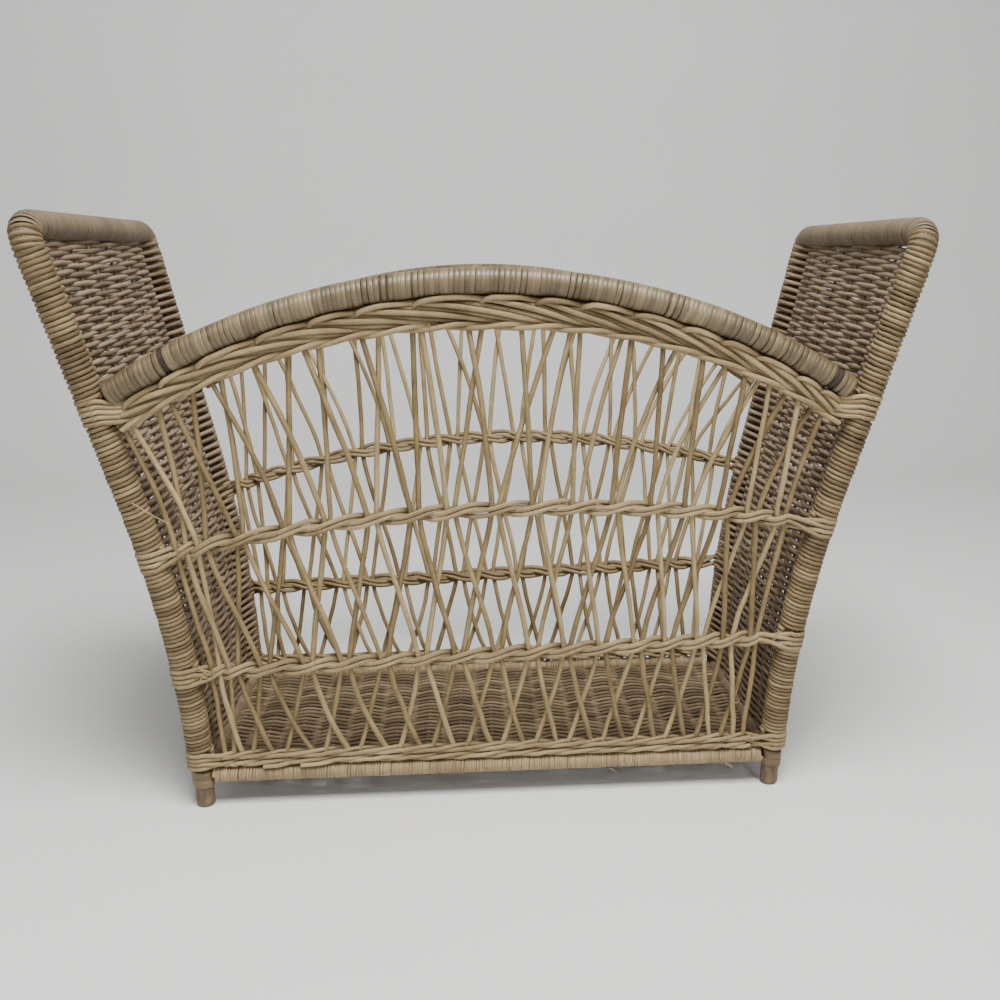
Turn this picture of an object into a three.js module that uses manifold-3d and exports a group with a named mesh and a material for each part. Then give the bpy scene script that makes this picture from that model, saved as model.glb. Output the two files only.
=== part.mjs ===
import * as THREE from "three";
import { mergeVertices } from "three/addons/utils/BufferGeometryUtils.js";
import Module from "manifold-3d";

const wasm = await Module();
wasm.setup();

// A magazine basket of rattan poles, round reed and flat peel, in millimetres with +Z up. The origin
// is on the floor in the middle of the four feet, +X runs along the basket and -Y is its front.

// Corner posts: where their axes stand, and how they lean outwards before and after their bend
const postDiameter = 11.4;
const footHalfLength = 181;
const footHalfDepth = 81;
const bendStartHeight = 27;
const bendEndHeight = 202;
const lowerLengthLeanShare = 0.045;
const upperLengthLeanShare = 0.274;
const lowerDepthLeanShare = 0.06;
const upperDepthLeanShare = 0.115;

// Handle bars across the two ends, arched rails on front and rear, rails round the base
const handleHeight = 357;
const handlePoleDiameter = 13.2;
const archEndHeight = 263;
const archRise = 64.5;
const archPoleDiameter = 13.6;
const railHeight = 20.5;
const railPoleDiameter = 7.6;

// Flat peel wound round the poles, and the lashings at the joints
const peelThickness = 1;
const peelTurnGap = 1.1;
const archBindingTurns = 20;
const handleBindingTurns = 10;
const footLashingHeight = 11.5;
const lashingThickness = 2.6;
const lashingHeight = 12;
const lashingTabLength = 15;

// Round reed of the end mats, whose rows turn round the posts, and of the base mat
const weaverDiameter = 2.75;
const rowsDrawn = 30;
const matRowsDrawn = 12;
const baseRowsDrawn = 8;
const matThickness = 6;
const weaveSwing = 1.25;
const matStakeCount = 8;
const matStakeDiameter = 3;
const handleSlit = 4;

// Open lattice of crossed stakes between two twined rows, a bottom wale and a plaited border
const columnShares = [
  ...[-1, -0.93, -0.81, -0.67, -0.53, -0.39, -0.26, -0.13],
  ...[0.01, 0.14, 0.27, 0.4, 0.53, 0.65, 0.77, 0.87, 0.97],
];
const columnCount = columnShares.length;
const stakeDiameter = 3.2;
const rodDiameter = 3.4;
const waleThickness = 3.2;
const waleHeight = 9;
const wrapClearance = 0.9;
const lowerRowHeight = 96;
const upperRowHeight = 171;
const frontUpperRowRise = 20;
const rearUpperRowRise = 32;
const rowEndRise = 7;
const borderHeight = 19;
const borderEndHeight = 13;
const borderThickness = 8;

// Clearance between pieces that touch, and how far fused strands sink into each other
const seatGap = 0.3;
const fuseDepthShare = 0.4;

// How finely round shapes are drawn
const poleSides = 8;
const strandSides = 4;
const ribSides = 8;
const ribbonSteps = 8;
const postSteps = 10;
const archSteps = 14;
const wrapSteps = 6;
const rodSteps = 8;
const boreRibs = 5;

const postRadius = postDiameter / 2;
const ribRadius = postRadius + weaverDiameter;
const stakeRadius = stakeDiameter / 2;
const stakeOffset = stakeRadius + seatGap / 2;
const fusedOffset = stakeRadius * (1 - fuseDepthShare);
const up = new THREE.Vector3(0, 0, 1);
const forward = new THREE.Vector3(0, -1, 0);

// Materials: golden reed, paler shiny peel, and the browner inside weaving
const reed = new THREE.MeshStandardMaterial({ color: 0xb8935c, roughness: 0.55, metalness: 0 });
const peel = new THREE.MeshStandardMaterial({ color: 0xc2a26c, roughness: 0.42, metalness: 0 });
const pole = new THREE.MeshStandardMaterial({ color: 0xa9814c, roughness: 0.5, metalness: 0 });
const weave = new THREE.MeshStandardMaterial({ color: 0x9a7a52, roughness: 0.65, metalness: 0 });

// Reach of a post's axis from the middle, at a height
function spread(foot, lowerShare, upperShare, height) {
  const bent = Math.min(Math.max(height - bendStartHeight, 0), bendEndHeight - bendStartHeight);
  const above = Math.max(height - bendEndHeight, 0);
  const gainShare = (upperShare - lowerShare) / (bendEndHeight - bendStartHeight);
  return foot + lowerShare * height + (gainShare * bent * bent) / 2 + (upperShare - lowerShare) * above;
}

function halfLengthAt(height) {
  return spread(footHalfLength, lowerLengthLeanShare, upperLengthLeanShare, height);
}

function halfDepthAt(height) {
  return spread(footHalfDepth, lowerDepthLeanShare, upperDepthLeanShare, height);
}

function postPoint(signX, signY, height) {
  return new THREE.Vector3(signX * halfLengthAt(height), signY * halfDepthAt(height), height);
}

// A point of the front (signY -1) or rear (signY 1) panel, moved outwards by out
function panelPoint(signY, x, height, out) {
  return new THREE.Vector3(x, signY * (halfDepthAt(height) + out), height);
}

// A closed body through rings of points. A looped one joins its last ring to its first.
function loft(rings, looped = false) {
  const count = rings[0].length;
  const points = rings.flat();
  const faces = [];
  const joins = looped ? rings.length : rings.length - 1;
  for (let ring = 0; ring < joins; ring += 1) {
    const next = (ring + 1) % rings.length;
    for (let side = 0; side < count; side += 1) {
      const turn = (side + 1) % count;
      faces.push([ring * count + side, ring * count + turn, next * count + turn]);
      faces.push([ring * count + side, next * count + turn, next * count + side]);
    }
  }
  if (!looped) {
    const last = (rings.length - 1) * count;
    for (let side = 1; side < count - 1; side += 1) {
      faces.push([0, side + 1, side]);
      faces.push([last, last + side, last + side + 1]);
    }
  }
  return facingOut(points, faces);
}

// Puts faces on points, turned so that the body's volume is positive
function facingOut(points, faces) {
  const volume = faces.reduce((sum, [a, b, c]) => {
    const normal = new THREE.Vector3().crossVectors(points[b], points[c]);
    return sum + points[a].dot(normal);
  }, 0);
  const turned = volume < 0 ? faces.map(([a, b, c]) => [a, c, b]) : faces;
  const geometry = new THREE.BufferGeometry().setFromPoints(points);
  geometry.setIndex(turned.flat());
  return geometry;
}

function directions(points, index, reference) {
  const before = points[Math.max(index - 1, 0)];
  const after = points[Math.min(index + 1, points.length - 1)];
  const along = after.clone().sub(before).normalize();
  const across = new THREE.Vector3().crossVectors(along, reference).normalize();
  const out = new THREE.Vector3().crossVectors(across, along);
  return { along, across, out };
}

// A ring of points round a centre, with an angle's reach across and out given by a function
function ringAt(points, index, reference, sides, reachAt) {
  const { across, out } = directions(points, index, reference);
  return Array.from({ length: sides }, (_, side) => {
    const angle = (2 * Math.PI * side) / sides;
    const [a, b] = reachAt(angle, index);
    return points[index].clone().addScaledVector(across, a).addScaledVector(out, b);
  });
}

function roundRing(points, index, reference, sides, radius) {
  return ringAt(points, index, reference, sides, (angle) => [
    radius * Math.cos(angle),
    radius * Math.sin(angle),
  ]);
}

// A round rod along points, or an oval one that is thick across and tall along the reference
function rod(points, diameter, sides, reference, tall = diameter) {
  const reachAt = (angle) => [(diameter / 2) * Math.cos(angle), (tall / 2) * Math.sin(angle)];
  return loft(points.map((_, index) => ringAt(points, index, reference, sides, reachAt)));
}

// The bore that clears a round core, for a bore drawn with straight sides
function boreRound(coreRadius, sides) {
  return (coreRadius + seatGap) / Math.cos(Math.PI / sides);
}

// A plain sleeve along points
function sleeve(points, coreRadius, wall, sides, reference) {
  const bore = boreRound(coreRadius, sides);
  const outer = points.map((_, index) => roundRing(points, index, reference, sides, bore + wall));
  const inner = points.map((_, index) => roundRing(points, index, reference, sides, bore));
  return loft([...outer, ...inner.reverse()], true);
}

function stations(count, place) {
  return Array.from({ length: count + 1 }, (_, index) => place(index / count));
}

function between(start, end, share) {
  return start + (end - start) * share;
}

// Joins overlapping geometries into one body
function fuse(geometries) {
  const solids = geometries.map((geometry) => {
    const merged = mergeVertices(geometry.clone());
    return new wasm.Manifold(
      new wasm.Mesh({
        numProp: 3,
        vertProperties: merged.attributes.position.array,
        triVerts: new Uint32Array(merged.index.array),
      }),
    );
  });
  const joined = solids.reduce((sum, solid) => sum.add(solid)).getMesh();
  const geometry = new THREE.BufferGeometry();
  geometry.setAttribute("position", new THREE.BufferAttribute(joined.vertProperties, joined.numProp));
  geometry.setIndex(new THREE.BufferAttribute(joined.triVerts, 1));
  return geometry;
}

// A flat strip wound along a route as one unbroken helix, with the least gap between its turns printed
function winding(name, placeAt, turns, coreRadius, reference) {
  const steps = turns * ribbonSteps;
  const route = stations(steps, placeAt);
  const length = route.slice(1).reduce((sum, point, index) => sum + point.distanceTo(route[index]), 0);
  const pitch = (length + peelTurnGap) / (turns + 1);
  const stripHalf = (pitch - peelTurnGap) / 2;
  const shareEnd = stripHalf / length;
  const centres = stations(steps, (share) => placeAt(between(shareEnd, 1 - shareEnd, share)));
  const inner = boreRound(coreRadius, ribbonSteps);
  const rings = centres.map((centre, index) => {
    const { along, across, out } = directions(centres, index, reference);
    const angle = (2 * Math.PI * index) / ribbonSteps;
    const radial = across.clone().multiplyScalar(Math.cos(angle)).addScaledVector(out, Math.sin(angle));
    const corner = (radius, side) =>
      centre.clone().addScaledVector(radial, radius).addScaledVector(along, side * stripHalf);
    return [
      corner(inner, -1),
      corner(inner + peelThickness, -1),
      corner(inner + peelThickness, 1),
      corner(inner, 1),
    ];
  });
  const gaps = rings.slice(ribbonSteps).flatMap((ring, index) => {
    const { along } = directions(centres, index, reference);
    return [ring[0].clone().sub(rings[index][3]), ring[1].clone().sub(rings[index][2])].map((step) =>
      step.dot(along),
    );
  });
  console.log(`${name}: least gap between turns ${Math.min(...gaps).toFixed(2)} mm`);
  return loft(rings);
}

const group = new THREE.Group();

function place(name, geometry, material) {
  const mesh = new THREE.Mesh(geometry, material.clone());
  mesh.name = name;
  group.add(mesh);
}

// Names of the four corners and of the two long sides
const corners = [
  ["front_left", -1, -1],
  ["front_right", 1, -1],
  ["rear_left", -1, 1],
  ["rear_right", 1, 1],
];
const longSides = [
  ["front", -1],
  ["rear", 1],
];
const ends = [
  ["left", -1],
  ["right", 1],
];

// Sizes that the pieces share
const handleOuterRadius = boreRound(handlePoleDiameter / 2, ribbonSteps) + peelThickness;
const underHandle = handleHeight - handleOuterRadius - seatGap;
const railRadius = boreRound(railPoleDiameter / 2, poleSides) + peelThickness;
const footLashingTop = railHeight + footLashingHeight / 2;
const footLashingRadius = boreRound(postRadius, poleSides) + peelThickness;

// Levels a ring at a height, where a leaning piece is cut flat
function levelled(ring, height) {
  return ring.map((point) => new THREE.Vector3(point.x, point.y, height));
}

// A bare pole, flat on the floor, that runs up inside its winding to the handle bar
function cornerPost(signX, signY) {
  const axis = stations(postSteps, (share) => postPoint(signX, signY, between(0, underHandle, share)));
  const rings = axis.map((_, index) => roundRing(axis, index, forward, poleSides, postRadius));
  rings[0] = levelled(rings[0], 0);
  rings[postSteps] = levelled(rings[postSteps], underHandle);
  return loft(rings);
}

// The turns of the end mat's reed round a post, with a ring at each groove and each crest
function postWinding(signX, signY) {
  const start = footLashingTop + seatGap;
  const axis = stations(2 * rowsDrawn, (share) =>
    postPoint(signX, signY, between(start, underHandle, share)),
  );
  const groove = ribRadius - weaverDiameter / 3;
  const outer = axis.map((_, index) =>
    roundRing(axis, index, forward, ribSides, index % 2 ? ribRadius : groove),
  );
  const bore = boreRound(postRadius, ribSides);
  const inner = axis
    .map((_, index) => index)
    .filter((index) => index % (2 * boreRibs) === 0)
    .map((index) => roundRing(axis, index, forward, ribSides, bore));
  [outer, inner].forEach((rings) => rings.push(levelled(rings.pop(), underHandle)));
  return loft([...outer, ...inner.reverse()], true);
}

// Peel lashed round a post where the base rails meet it
function footLashing(signX, signY) {
  const axis = [-1, 1].map((side) =>
    postPoint(signX, signY, railHeight + (side * footLashingHeight) / 2),
  );
  return sleeve(axis, postRadius, peelThickness, poleSides, forward);
}

// The circle of the arched rails, through both ends and the top. The corner of a rail's end face
// reaches outwards as the rail slopes, less what the leaning post gives way there.
const archOuterRadius = boreRound(archPoleDiameter / 2, ribbonSteps) + peelThickness;
const leanFactor = Math.hypot(1, upperLengthLeanShare);
const archOpenHalf = halfLengthAt(archEndHeight) - ribRadius * leanFactor - seatGap;
const archSlope = 2 * Math.atan(archRise / archOpenHalf);
const cornerReach = archOuterRadius * (Math.sin(archSlope) - Math.cos(archSlope) * upperLengthLeanShare);
const archHalfSpan = archOpenHalf - cornerReach;
const archRadius = (archHalfSpan * archHalfSpan + archRise * archRise) / (2 * archRise);
const archCentreHeight = archEndHeight + archRise - archRadius;
const archAngle = Math.asin(archHalfSpan / archRadius);

// A point of a long side at an angle from the top of the arch, at a radius from the arch's centre
function archPoint(signY, radius, angle) {
  const height = archCentreHeight + radius * Math.cos(angle);
  return panelPoint(signY, radius * Math.sin(angle), height, 0);
}

function archPole(signY) {
  const axis = stations(archSteps, (share) =>
    archPoint(signY, archRadius, between(-archAngle, archAngle, share)),
  );
  return rod(axis, archPoleDiameter, poleSides, forward);
}

function archBinding(name, signY) {
  const placeAt = (share) => archPoint(signY, archRadius, between(-archAngle, archAngle, share));
  return winding(name, placeAt, archBindingTurns, archPoleDiameter / 2, forward);
}

// Strands lashed round a post and over the end of an arched rail, open where the end mat stands
function archLashing(signX, signY) {
  const inner = ribRadius + seatGap;
  const outer = inner + lashingThickness;
  const shape = new THREE.Shape();
  shape.moveTo(lashingTabLength, -outer);
  shape.lineTo(0, -outer);
  shape.absarc(0, 0, outer, -Math.PI / 2, -1.25 * Math.PI, true);
  shape.absarc(0, 0, inner, -1.25 * Math.PI, -Math.PI / 2, false);
  shape.lineTo(lashingTabLength, -inner);
  shape.closePath();
  const options = { depth: lashingHeight, bevelEnabled: false, curveSegments: ribSides };
  const geometry = new THREE.ExtrudeGeometry(shape, options);
  geometry.deleteAttribute("normal");
  geometry.deleteAttribute("uv");
  geometry.translate(0, 0, -lashingHeight);
  const top = postPoint(signX, signY, archEndHeight);
  const low = postPoint(signX, signY, archEndHeight - lashingHeight);
  const along = top.clone().sub(low).normalize();
  const inwards = new THREE.Vector3(0, -signY, 0);
  const across = new THREE.Vector3().crossVectors(inwards, along);
  across.multiplyScalar(signX * signY).normalize();
  const depth = new THREE.Vector3().crossVectors(along, across).multiplyScalar(signX * signY);
  const frame = new THREE.Matrix4().makeBasis(across, depth, along).setPosition(top);
  const merged = mergeVertices(geometry).applyMatrix4(frame);
  const position = merged.attributes.position;
  const points = Array.from({ length: position.count }, (_, index) =>
    new THREE.Vector3().fromBufferAttribute(position, index),
  );
  const index = merged.index.array;
  const faces = Array.from({ length: index.length / 3 }, (_, face) => [
    index[3 * face],
    index[3 * face + 1],
    index[3 * face + 2],
  ]);
  return facingOut(points, faces);
}

// The pole of a handle bar, with rounded ends over the posts
function handlePole(signX) {
  const radius = handlePoleDiameter / 2;
  const half = halfDepthAt(handleHeight) + ribRadius - peelThickness;
  const capShares = [0.25, 0.7, 0.95, 1];
  const capSteps = capShares.map((reach) => 1 - Math.sqrt(1 - reach * reach));
  const places = [
    ...capSteps.map((step, index) => [-half + radius * step, capShares[index]]),
    ...capSteps.map((step, index) => [half - radius * step, capShares[index]]).reverse(),
  ];
  const x = signX * halfLengthAt(handleHeight);
  const axis = places.map(([y]) => new THREE.Vector3(x, y, handleHeight));
  return loft(axis.map((_, index) => roundRing(axis, index, up, poleSides, radius * places[index][1])));
}

function handleBinding(name, signX) {
  const half = halfDepthAt(handleHeight) + ribRadius - handlePoleDiameter / 2;
  const x = signX * halfLengthAt(handleHeight);
  const placeAt = (share) => new THREE.Vector3(x, between(-half, half, share), handleHeight);
  return winding(name, placeAt, handleBindingTurns, handlePoleDiameter / 2, up);
}

// Rails round the base, between the lashings of the posts
const railHalfLength = halfLengthAt(railHeight) - footLashingRadius - seatGap;
const railHalfDepth = halfDepthAt(railHeight) - footLashingRadius - seatGap;

function longRailAxis(signY) {
  return [-1, 1].map((side) => panelPoint(signY, side * railHalfLength, railHeight, 0));
}

function shortRailAxis(signX) {
  const x = signX * halfLengthAt(railHeight);
  return [-1, 1].map((side) => new THREE.Vector3(x, side * railHalfDepth, railHeight));
}

// A panel woven over and under stakes: both of its faces swing to one side and the other by turns
function wovenPanel(rows, stakes, placeAt) {
  const columns = stakes + 1;
  const half = matThickness / 2 - weaveSwing;
  const at = (face, [row, column]) => (face * (rows + 1) + row) * (columns + 1) + column;
  const points = [1, -1].flatMap((side) =>
    stations(rows, (rowShare) => rowShare).flatMap((rowShare, row) =>
      stations(columns, (columnShare) => columnShare).map((columnShare, column) => {
        const swing = column % columns ? weaveSwing * (-1) ** (row + column) : 0;
        return placeAt(rowShare, columnShare, swing + side * half);
      }),
    ),
  );
  const faces = [];
  const patch = (a, b, c, d) => faces.push([a, b, c], [a, c, d]);
  const rim = [];
  for (let row = 0; row < rows; row += 1) {
    for (let column = 0; column < columns; column += 1) {
      const corners = [
        [row, column],
        [row, column + 1],
        [row + 1, column + 1],
        [row + 1, column],
      ];
      const [a, b, c, d] = corners.map((corner) => at(1, corner));
      patch(...corners.map((corner) => at(0, corner)));
      patch(a, d, c, b);
    }
  }
  for (let column = 0; column < columns; column += 1) {
    rim.push([0, column]);
  }
  for (let row = 0; row < rows; row += 1) {
    rim.push([row, columns]);
  }
  for (let column = columns; column > 0; column -= 1) {
    rim.push([rows, column]);
  }
  for (let row = rows; row > 0; row -= 1) {
    rim.push([row, 0]);
  }
  rim.forEach((place, index) => {
    const next = rim[(index + 1) % rim.length];
    patch(at(0, next), at(0, place), at(1, place), at(1, next));
  });
  return facingOut(points, faces);
}

// The woven mat between the two posts of an end, with its stakes running on up to the handle bar
function endMat(signX) {
  const bottom = railHeight + railRadius + seatGap;
  const top = handleHeight - handleOuterRadius - handleSlit;
  const placeAt = (rowShare, stakeShare, out) => {
    const height = between(bottom, top, rowShare);
    const reach = halfDepthAt(height) - ribRadius * leanFactor - seatGap;
    return new THREE.Vector3(
      signX * halfLengthAt(height) + out,
      between(-reach, reach, stakeShare),
      height,
    );
  };
  const panel = wovenPanel(matRowsDrawn, matStakeCount, placeAt);
  const sunk = top - matStakeDiameter;
  const stubs = Array.from({ length: matStakeCount }, (_, index) => {
    const spanShare = (2 * (index + 1)) / (matStakeCount + 1) - 1;
    const y = spanShare * (halfDepthAt(top) - ribRadius);
    const low = new THREE.Vector3(signX * halfLengthAt(sunk), y, sunk);
    const high = new THREE.Vector3(signX * halfLengthAt(handleHeight), y, underHandle);
    const radius = matStakeDiameter / 2;
    const [start, end] = [0, 1].map((at) => roundRing([low, high], at, forward, strandSides, radius));
    return loft([start, levelled(end, underHandle)]);
  });
  return fuse([panel, ...stubs]);
}

// The woven floor between the four base rails
function baseMat() {
  const halfX = halfLengthAt(railHeight) - railRadius - seatGap;
  const halfY = halfDepthAt(railHeight) - railRadius - seatGap;
  return wovenPanel(baseRowsDrawn, columnCount, (rowShare, stakeShare, out) => {
    const x = between(-halfX, halfX, stakeShare);
    return new THREE.Vector3(x, between(-halfY, halfY, rowShare), railHeight + out);
  });
}

// The plaited border under an arched rail: an oval band that thins towards the posts
const borderOuter = archRadius - archOuterRadius - seatGap;
const borderLow = archEndHeight - borderEndHeight;
const borderHalfSpan = halfLengthAt(borderLow) - ribRadius * leanFactor - weaverDiameter / 2;
const borderAngle = Math.asin(borderHalfSpan / borderOuter);

function borderHeightAt(angle) {
  return between(borderHeight, borderEndHeight, Math.abs(angle) / borderAngle);
}

function plaitedBorder(signY) {
  const angles = stations(archSteps, (share) => between(-borderAngle, borderAngle, share));
  const axis = angles.map((angle) => archPoint(signY, borderOuter - borderHeightAt(angle) / 2, angle));
  return loft(
    axis.map((_, index) => {
      const half = borderHeightAt(angles[index]) / 2;
      return ringAt(axis, index, forward, poleSides, (angle) => [
        half * Math.cos(angle),
        (borderThickness / 2) * Math.sin(angle),
      ]);
    }),
  );
}

// Heights where the stakes stand, are twined or end, at a column's share of the half width
const thickestRod = Math.max(rodDiameter, waleThickness);
const wrapReach = ribRadius * leanFactor + wrapClearance + thickestRod;
const edgeInset = wrapReach + seatGap + stakeRadius + stakeOffset;
const waleMiddle = railHeight + railRadius + seatGap + waleHeight / 2;
const levelHeights = [railHeight, lowerRowHeight, upperRowHeight, archEndHeight - borderEndHeight];
const levels = levelHeights.map((_, level) => level);

// Columns keep clear of the wraps round the posts, also where a row's end is low
function columnX(index, level) {
  return columnShares[index] * (halfLengthAt(levelHeights[level] - rowEndRise) - edgeInset);
}

// A row climbs a little to the right, and the upper one also arches, more so at the rear
function rowHeightAt(signY, level, x) {
  const share = x / halfLengthAt(levelHeights[level]);
  const upperRise = signY < 0 ? frontUpperRowRise : rearUpperRowRise;
  const rise = level === 2 ? upperRise * (1 - share * share) : 0;
  return levelHeights[level] + rowEndRise * share + rise;
}

// The height just under the border, whose lower edge is drawn with straight stretches
function underBorder(x) {
  const angle = Math.asin(x / borderOuter);
  const chordSag = borderOuter * (1 - Math.cos(borderAngle / archSteps));
  const radius = borderOuter - borderHeightAt(angle) - seatGap - chordSag;
  return archCentreHeight + Math.sqrt(radius * radius - x * x);
}

function stakeHeight(signY, level, x) {
  if (level === 0) return railHeight + railRadius + seatGap;
  return level < 3 ? rowHeightAt(signY, level, x) : underBorder(x);
}

// A stake through its places at the wale, the rows and the border, and its crossings between them
function stake(signY, places, crossings) {
  const points = places.flatMap(({ x, height }, level) => {
    const here = panelPoint(signY, x, height, 0);
    const cross = crossings[level];
    return cross ? [here, panelPoint(signY, cross.x, cross.height, cross.out)] : [here];
  });
  const rings = points.map((_, index) => roundRing(points, index, forward, strandSides, stakeRadius));
  rings[0].forEach((point) => point.setZ(points[0].z));
  rings[rings.length - 1].forEach((point) => point.setZ(underBorder(point.x)));
  return loft(rings);
}

function stakePlace(signY, index, level, inset) {
  const x = columnX(index, level) + inset;
  return { x, height: stakeHeight(signY, level, x) };
}

function mean(values) {
  return values.reduce((sum, value) => sum + value) / values.length;
}

// The two stakes that cross three times between a column and the next, fused at their first crossing
function crossedPair(signY, index, fusedLeft) {
  const placesOf = (member) =>
    levels.map((level) => {
      const right = (member + level) % 2;
      const fused = level === 1 && (right ? !fusedLeft : fusedLeft);
      const inset = fused ? fusedOffset : stakeOffset;
      return stakePlace(signY, index + right, level, right ? -inset : inset);
    });
  const members = [placesOf(0), placesOf(1)];
  const crossings = levels.slice(1).map((level) => {
    const around = members.flatMap((places) => [places[level - 1], places[level]]);
    const out = level === 1 ? fusedOffset : stakeOffset;
    return { x: mean(around.map(({ x }) => x)), height: mean(around.map(({ height }) => height)), out };
  });
  return members.map((places, member) =>
    stake(
      signY,
      places,
      crossings.map((crossing) => ({ ...crossing, out: member ? -crossing.out : crossing.out })),
    ),
  );
}

// The single stake beside a post, fused to its neighbour at the lower row
function edgeStake(signY, signX) {
  const index = signX < 0 ? 0 : columnCount - 1;
  const places = levels.map((level) =>
    stakePlace(signY, index, level, signX * (level === 1 ? fusedOffset : stakeOffset)),
  );
  return [stake(signY, places, [])];
}

// Two neighbouring pieces of the lattice, joined where the lower row binds them
function latticeStrip(signY, strip) {
  const pieces = [2 * strip, 2 * strip + 1].map((item) => {
    if (item === 0) return edgeStake(signY, -1);
    if (item === columnCount) return edgeStake(signY, 1);
    return crossedPair(signY, item - 1, item % 2 === 1);
  });
  return fuse(pieces.flat());
}

// A twined row: a rod before the stakes that wraps both posts, and a rod behind them
function twinedRow(signY, diameter, heightAt, tall = diameter) {
  const out = stakeRadius + seatGap + diameter / 2;
  const endHeights = [-1, 1].map((signX) => heightAt(signX * halfLengthAt(heightAt(0))));
  const radius = ribRadius * leanFactor + wrapClearance + diameter / 2;
  const startAngle = Math.asin(out / radius);
  const wrapPoint = (side, angle) => {
    const height = endHeights[side];
    const signX = side ? 1 : -1;
    const x = signX * (halfLengthAt(height) - radius * Math.cos(angle));
    return panelPoint(signY, x, height, radius * Math.sin(angle));
  };
  const wrap = (side) =>
    stations(wrapSteps, (share) => wrapPoint(side, between(1.25 * Math.PI, startAngle, share)));
  const straight = (side) =>
    stations(rodSteps, (share) => share)
      .slice(1, -1)
      .map((share) => {
        const x = between(wrapPoint(0, startAngle).x, wrapPoint(1, startAngle).x, share);
        return panelPoint(signY, x, heightAt(x), side * out);
      });
  const front = [...wrap(0), ...straight(1), ...wrap(1).reverse()];
  const turn = (side) => [startAngle, 0, -startAngle].map((angle) => wrapPoint(side, angle));
  const back = [...turn(0), ...straight(-1), ...turn(1).reverse()];
  return fuse([front, back].map((points) => rod(points, diameter, strandSides, up, tall)));
}

corners.forEach(([name, signX, signY]) => {
  place(`post_${name}`, cornerPost(signX, signY), pole);
  place(`post_winding_${name}`, postWinding(signX, signY), reed);
  place(`foot_lashing_${name}`, footLashing(signX, signY), peel);
  place(`arch_lashing_${name}`, archLashing(signX, signY), reed);
});

ends.forEach(([name, signX]) => {
  place(`handle_pole_${name}`, handlePole(signX), pole);
  place(`handle_binding_${name}`, handleBinding(`handle_binding_${name}`, signX), peel);
  place(`base_rail_${name}`, rod(shortRailAxis(signX), railPoleDiameter, poleSides, up), pole);
  place(`end_mat_${name}`, endMat(signX), weave);
});

longSides.forEach(([name, signY]) => {
  place(`arch_pole_${name}`, archPole(signY), pole);
  place(`arch_binding_${name}`, archBinding(`arch_binding_${name}`, signY), peel);
  place(`base_rail_${name}`, rod(longRailAxis(signY), railPoleDiameter, poleSides, up), pole);
  const railSleeve = sleeve(longRailAxis(signY), railPoleDiameter / 2, peelThickness, poleSides, up);
  place(`base_rail_binding_${name}`, railSleeve, peel);
  place(`plaited_border_${name}`, plaitedBorder(signY), reed);
  place(`bottom_wale_${name}`, twinedRow(signY, waleThickness, () => waleMiddle, waleHeight), reed);
  const lowerRow = twinedRow(signY, rodDiameter, (x) => rowHeightAt(signY, 1, x));
  const upperRow = twinedRow(signY, rodDiameter, (x) => rowHeightAt(signY, 2, x));
  place(`lower_twined_row_${name}`, lowerRow, reed);
  place(`upper_twined_row_${name}`, upperRow, reed);
  for (let strip = 0; strip < (columnCount + 1) / 2; strip += 1) {
    place(`lattice_strip_${name}_${strip + 1}`, latticeStrip(signY, strip), reed);
  }
});

place("base_mat", baseMat(), weave);

export default group;
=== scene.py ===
import math

import bpy
import numpy as np
from mathutils import Matrix, Vector


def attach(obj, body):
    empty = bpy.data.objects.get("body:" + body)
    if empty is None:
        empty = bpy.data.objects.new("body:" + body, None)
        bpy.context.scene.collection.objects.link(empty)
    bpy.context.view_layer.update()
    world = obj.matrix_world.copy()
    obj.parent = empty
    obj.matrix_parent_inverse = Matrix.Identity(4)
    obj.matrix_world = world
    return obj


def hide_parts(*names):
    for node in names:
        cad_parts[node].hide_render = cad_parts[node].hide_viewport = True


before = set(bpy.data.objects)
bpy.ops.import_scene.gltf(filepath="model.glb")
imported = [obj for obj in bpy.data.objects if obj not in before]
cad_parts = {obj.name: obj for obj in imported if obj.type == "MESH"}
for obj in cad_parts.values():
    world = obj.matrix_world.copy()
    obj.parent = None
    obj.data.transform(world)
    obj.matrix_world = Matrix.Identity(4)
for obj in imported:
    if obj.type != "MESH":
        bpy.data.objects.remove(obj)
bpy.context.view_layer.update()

# A magazine basket of rattan poles, round reed and flat peel. Lengths are in metres, -Y is the front.

# Sizes that the frame was drawn from
FOOT_HALF_LENGTH = 0.181
FOOT_HALF_DEPTH = 0.081
BEND_START = 0.027
BEND_END = 0.202
LENGTH_LEANS = (0.045, 0.274)
DEPTH_LEANS = (0.06, 0.115)
POST_RADIUS = 0.0057
REED_RADIUS = 0.001375
HANDLE_HEIGHT = 0.3565
HANDLE_RADIUS = 0.0077
ARCH_END_HEIGHT = 0.263
ARCH_RISE = 0.0645
ARCH_POLE_RADIUS = 0.0068
RAIL_HEIGHT = 0.0205
LONG_RAIL_RADIUS = 0.0042
SHORT_RAIL_RADIUS = 0.0034
STAKE_RADIUS = 0.00168
COLUMN_SHARES = np.array(
    [-1, -0.93, -0.81, -0.67, -0.53, -0.39, -0.26, -0.13, 0.01, 0.14, 0.27, 0.4, 0.53, 0.65, 0.77, 0.87, 0.97]
)
COLUMNS = len(COLUMN_SHARES)
ROW_END_RISE = 0.007
ROW_HEIGHTS = (0.096, 0.171)
UPPER_ROW_RISES = {-1: 0.02, 1: 0.032}
WALE_HEIGHT = 0.0309
BORDER_HEIGHTS = (0.019, 0.013)
PEEL_THICKNESS = 0.0009
PEEL_WIDTHS = {"arch": 0.0029, "handle": 0.0021, "rail": 0.0016, "foot": 0.0052}
GAP = 0.0003

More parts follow.
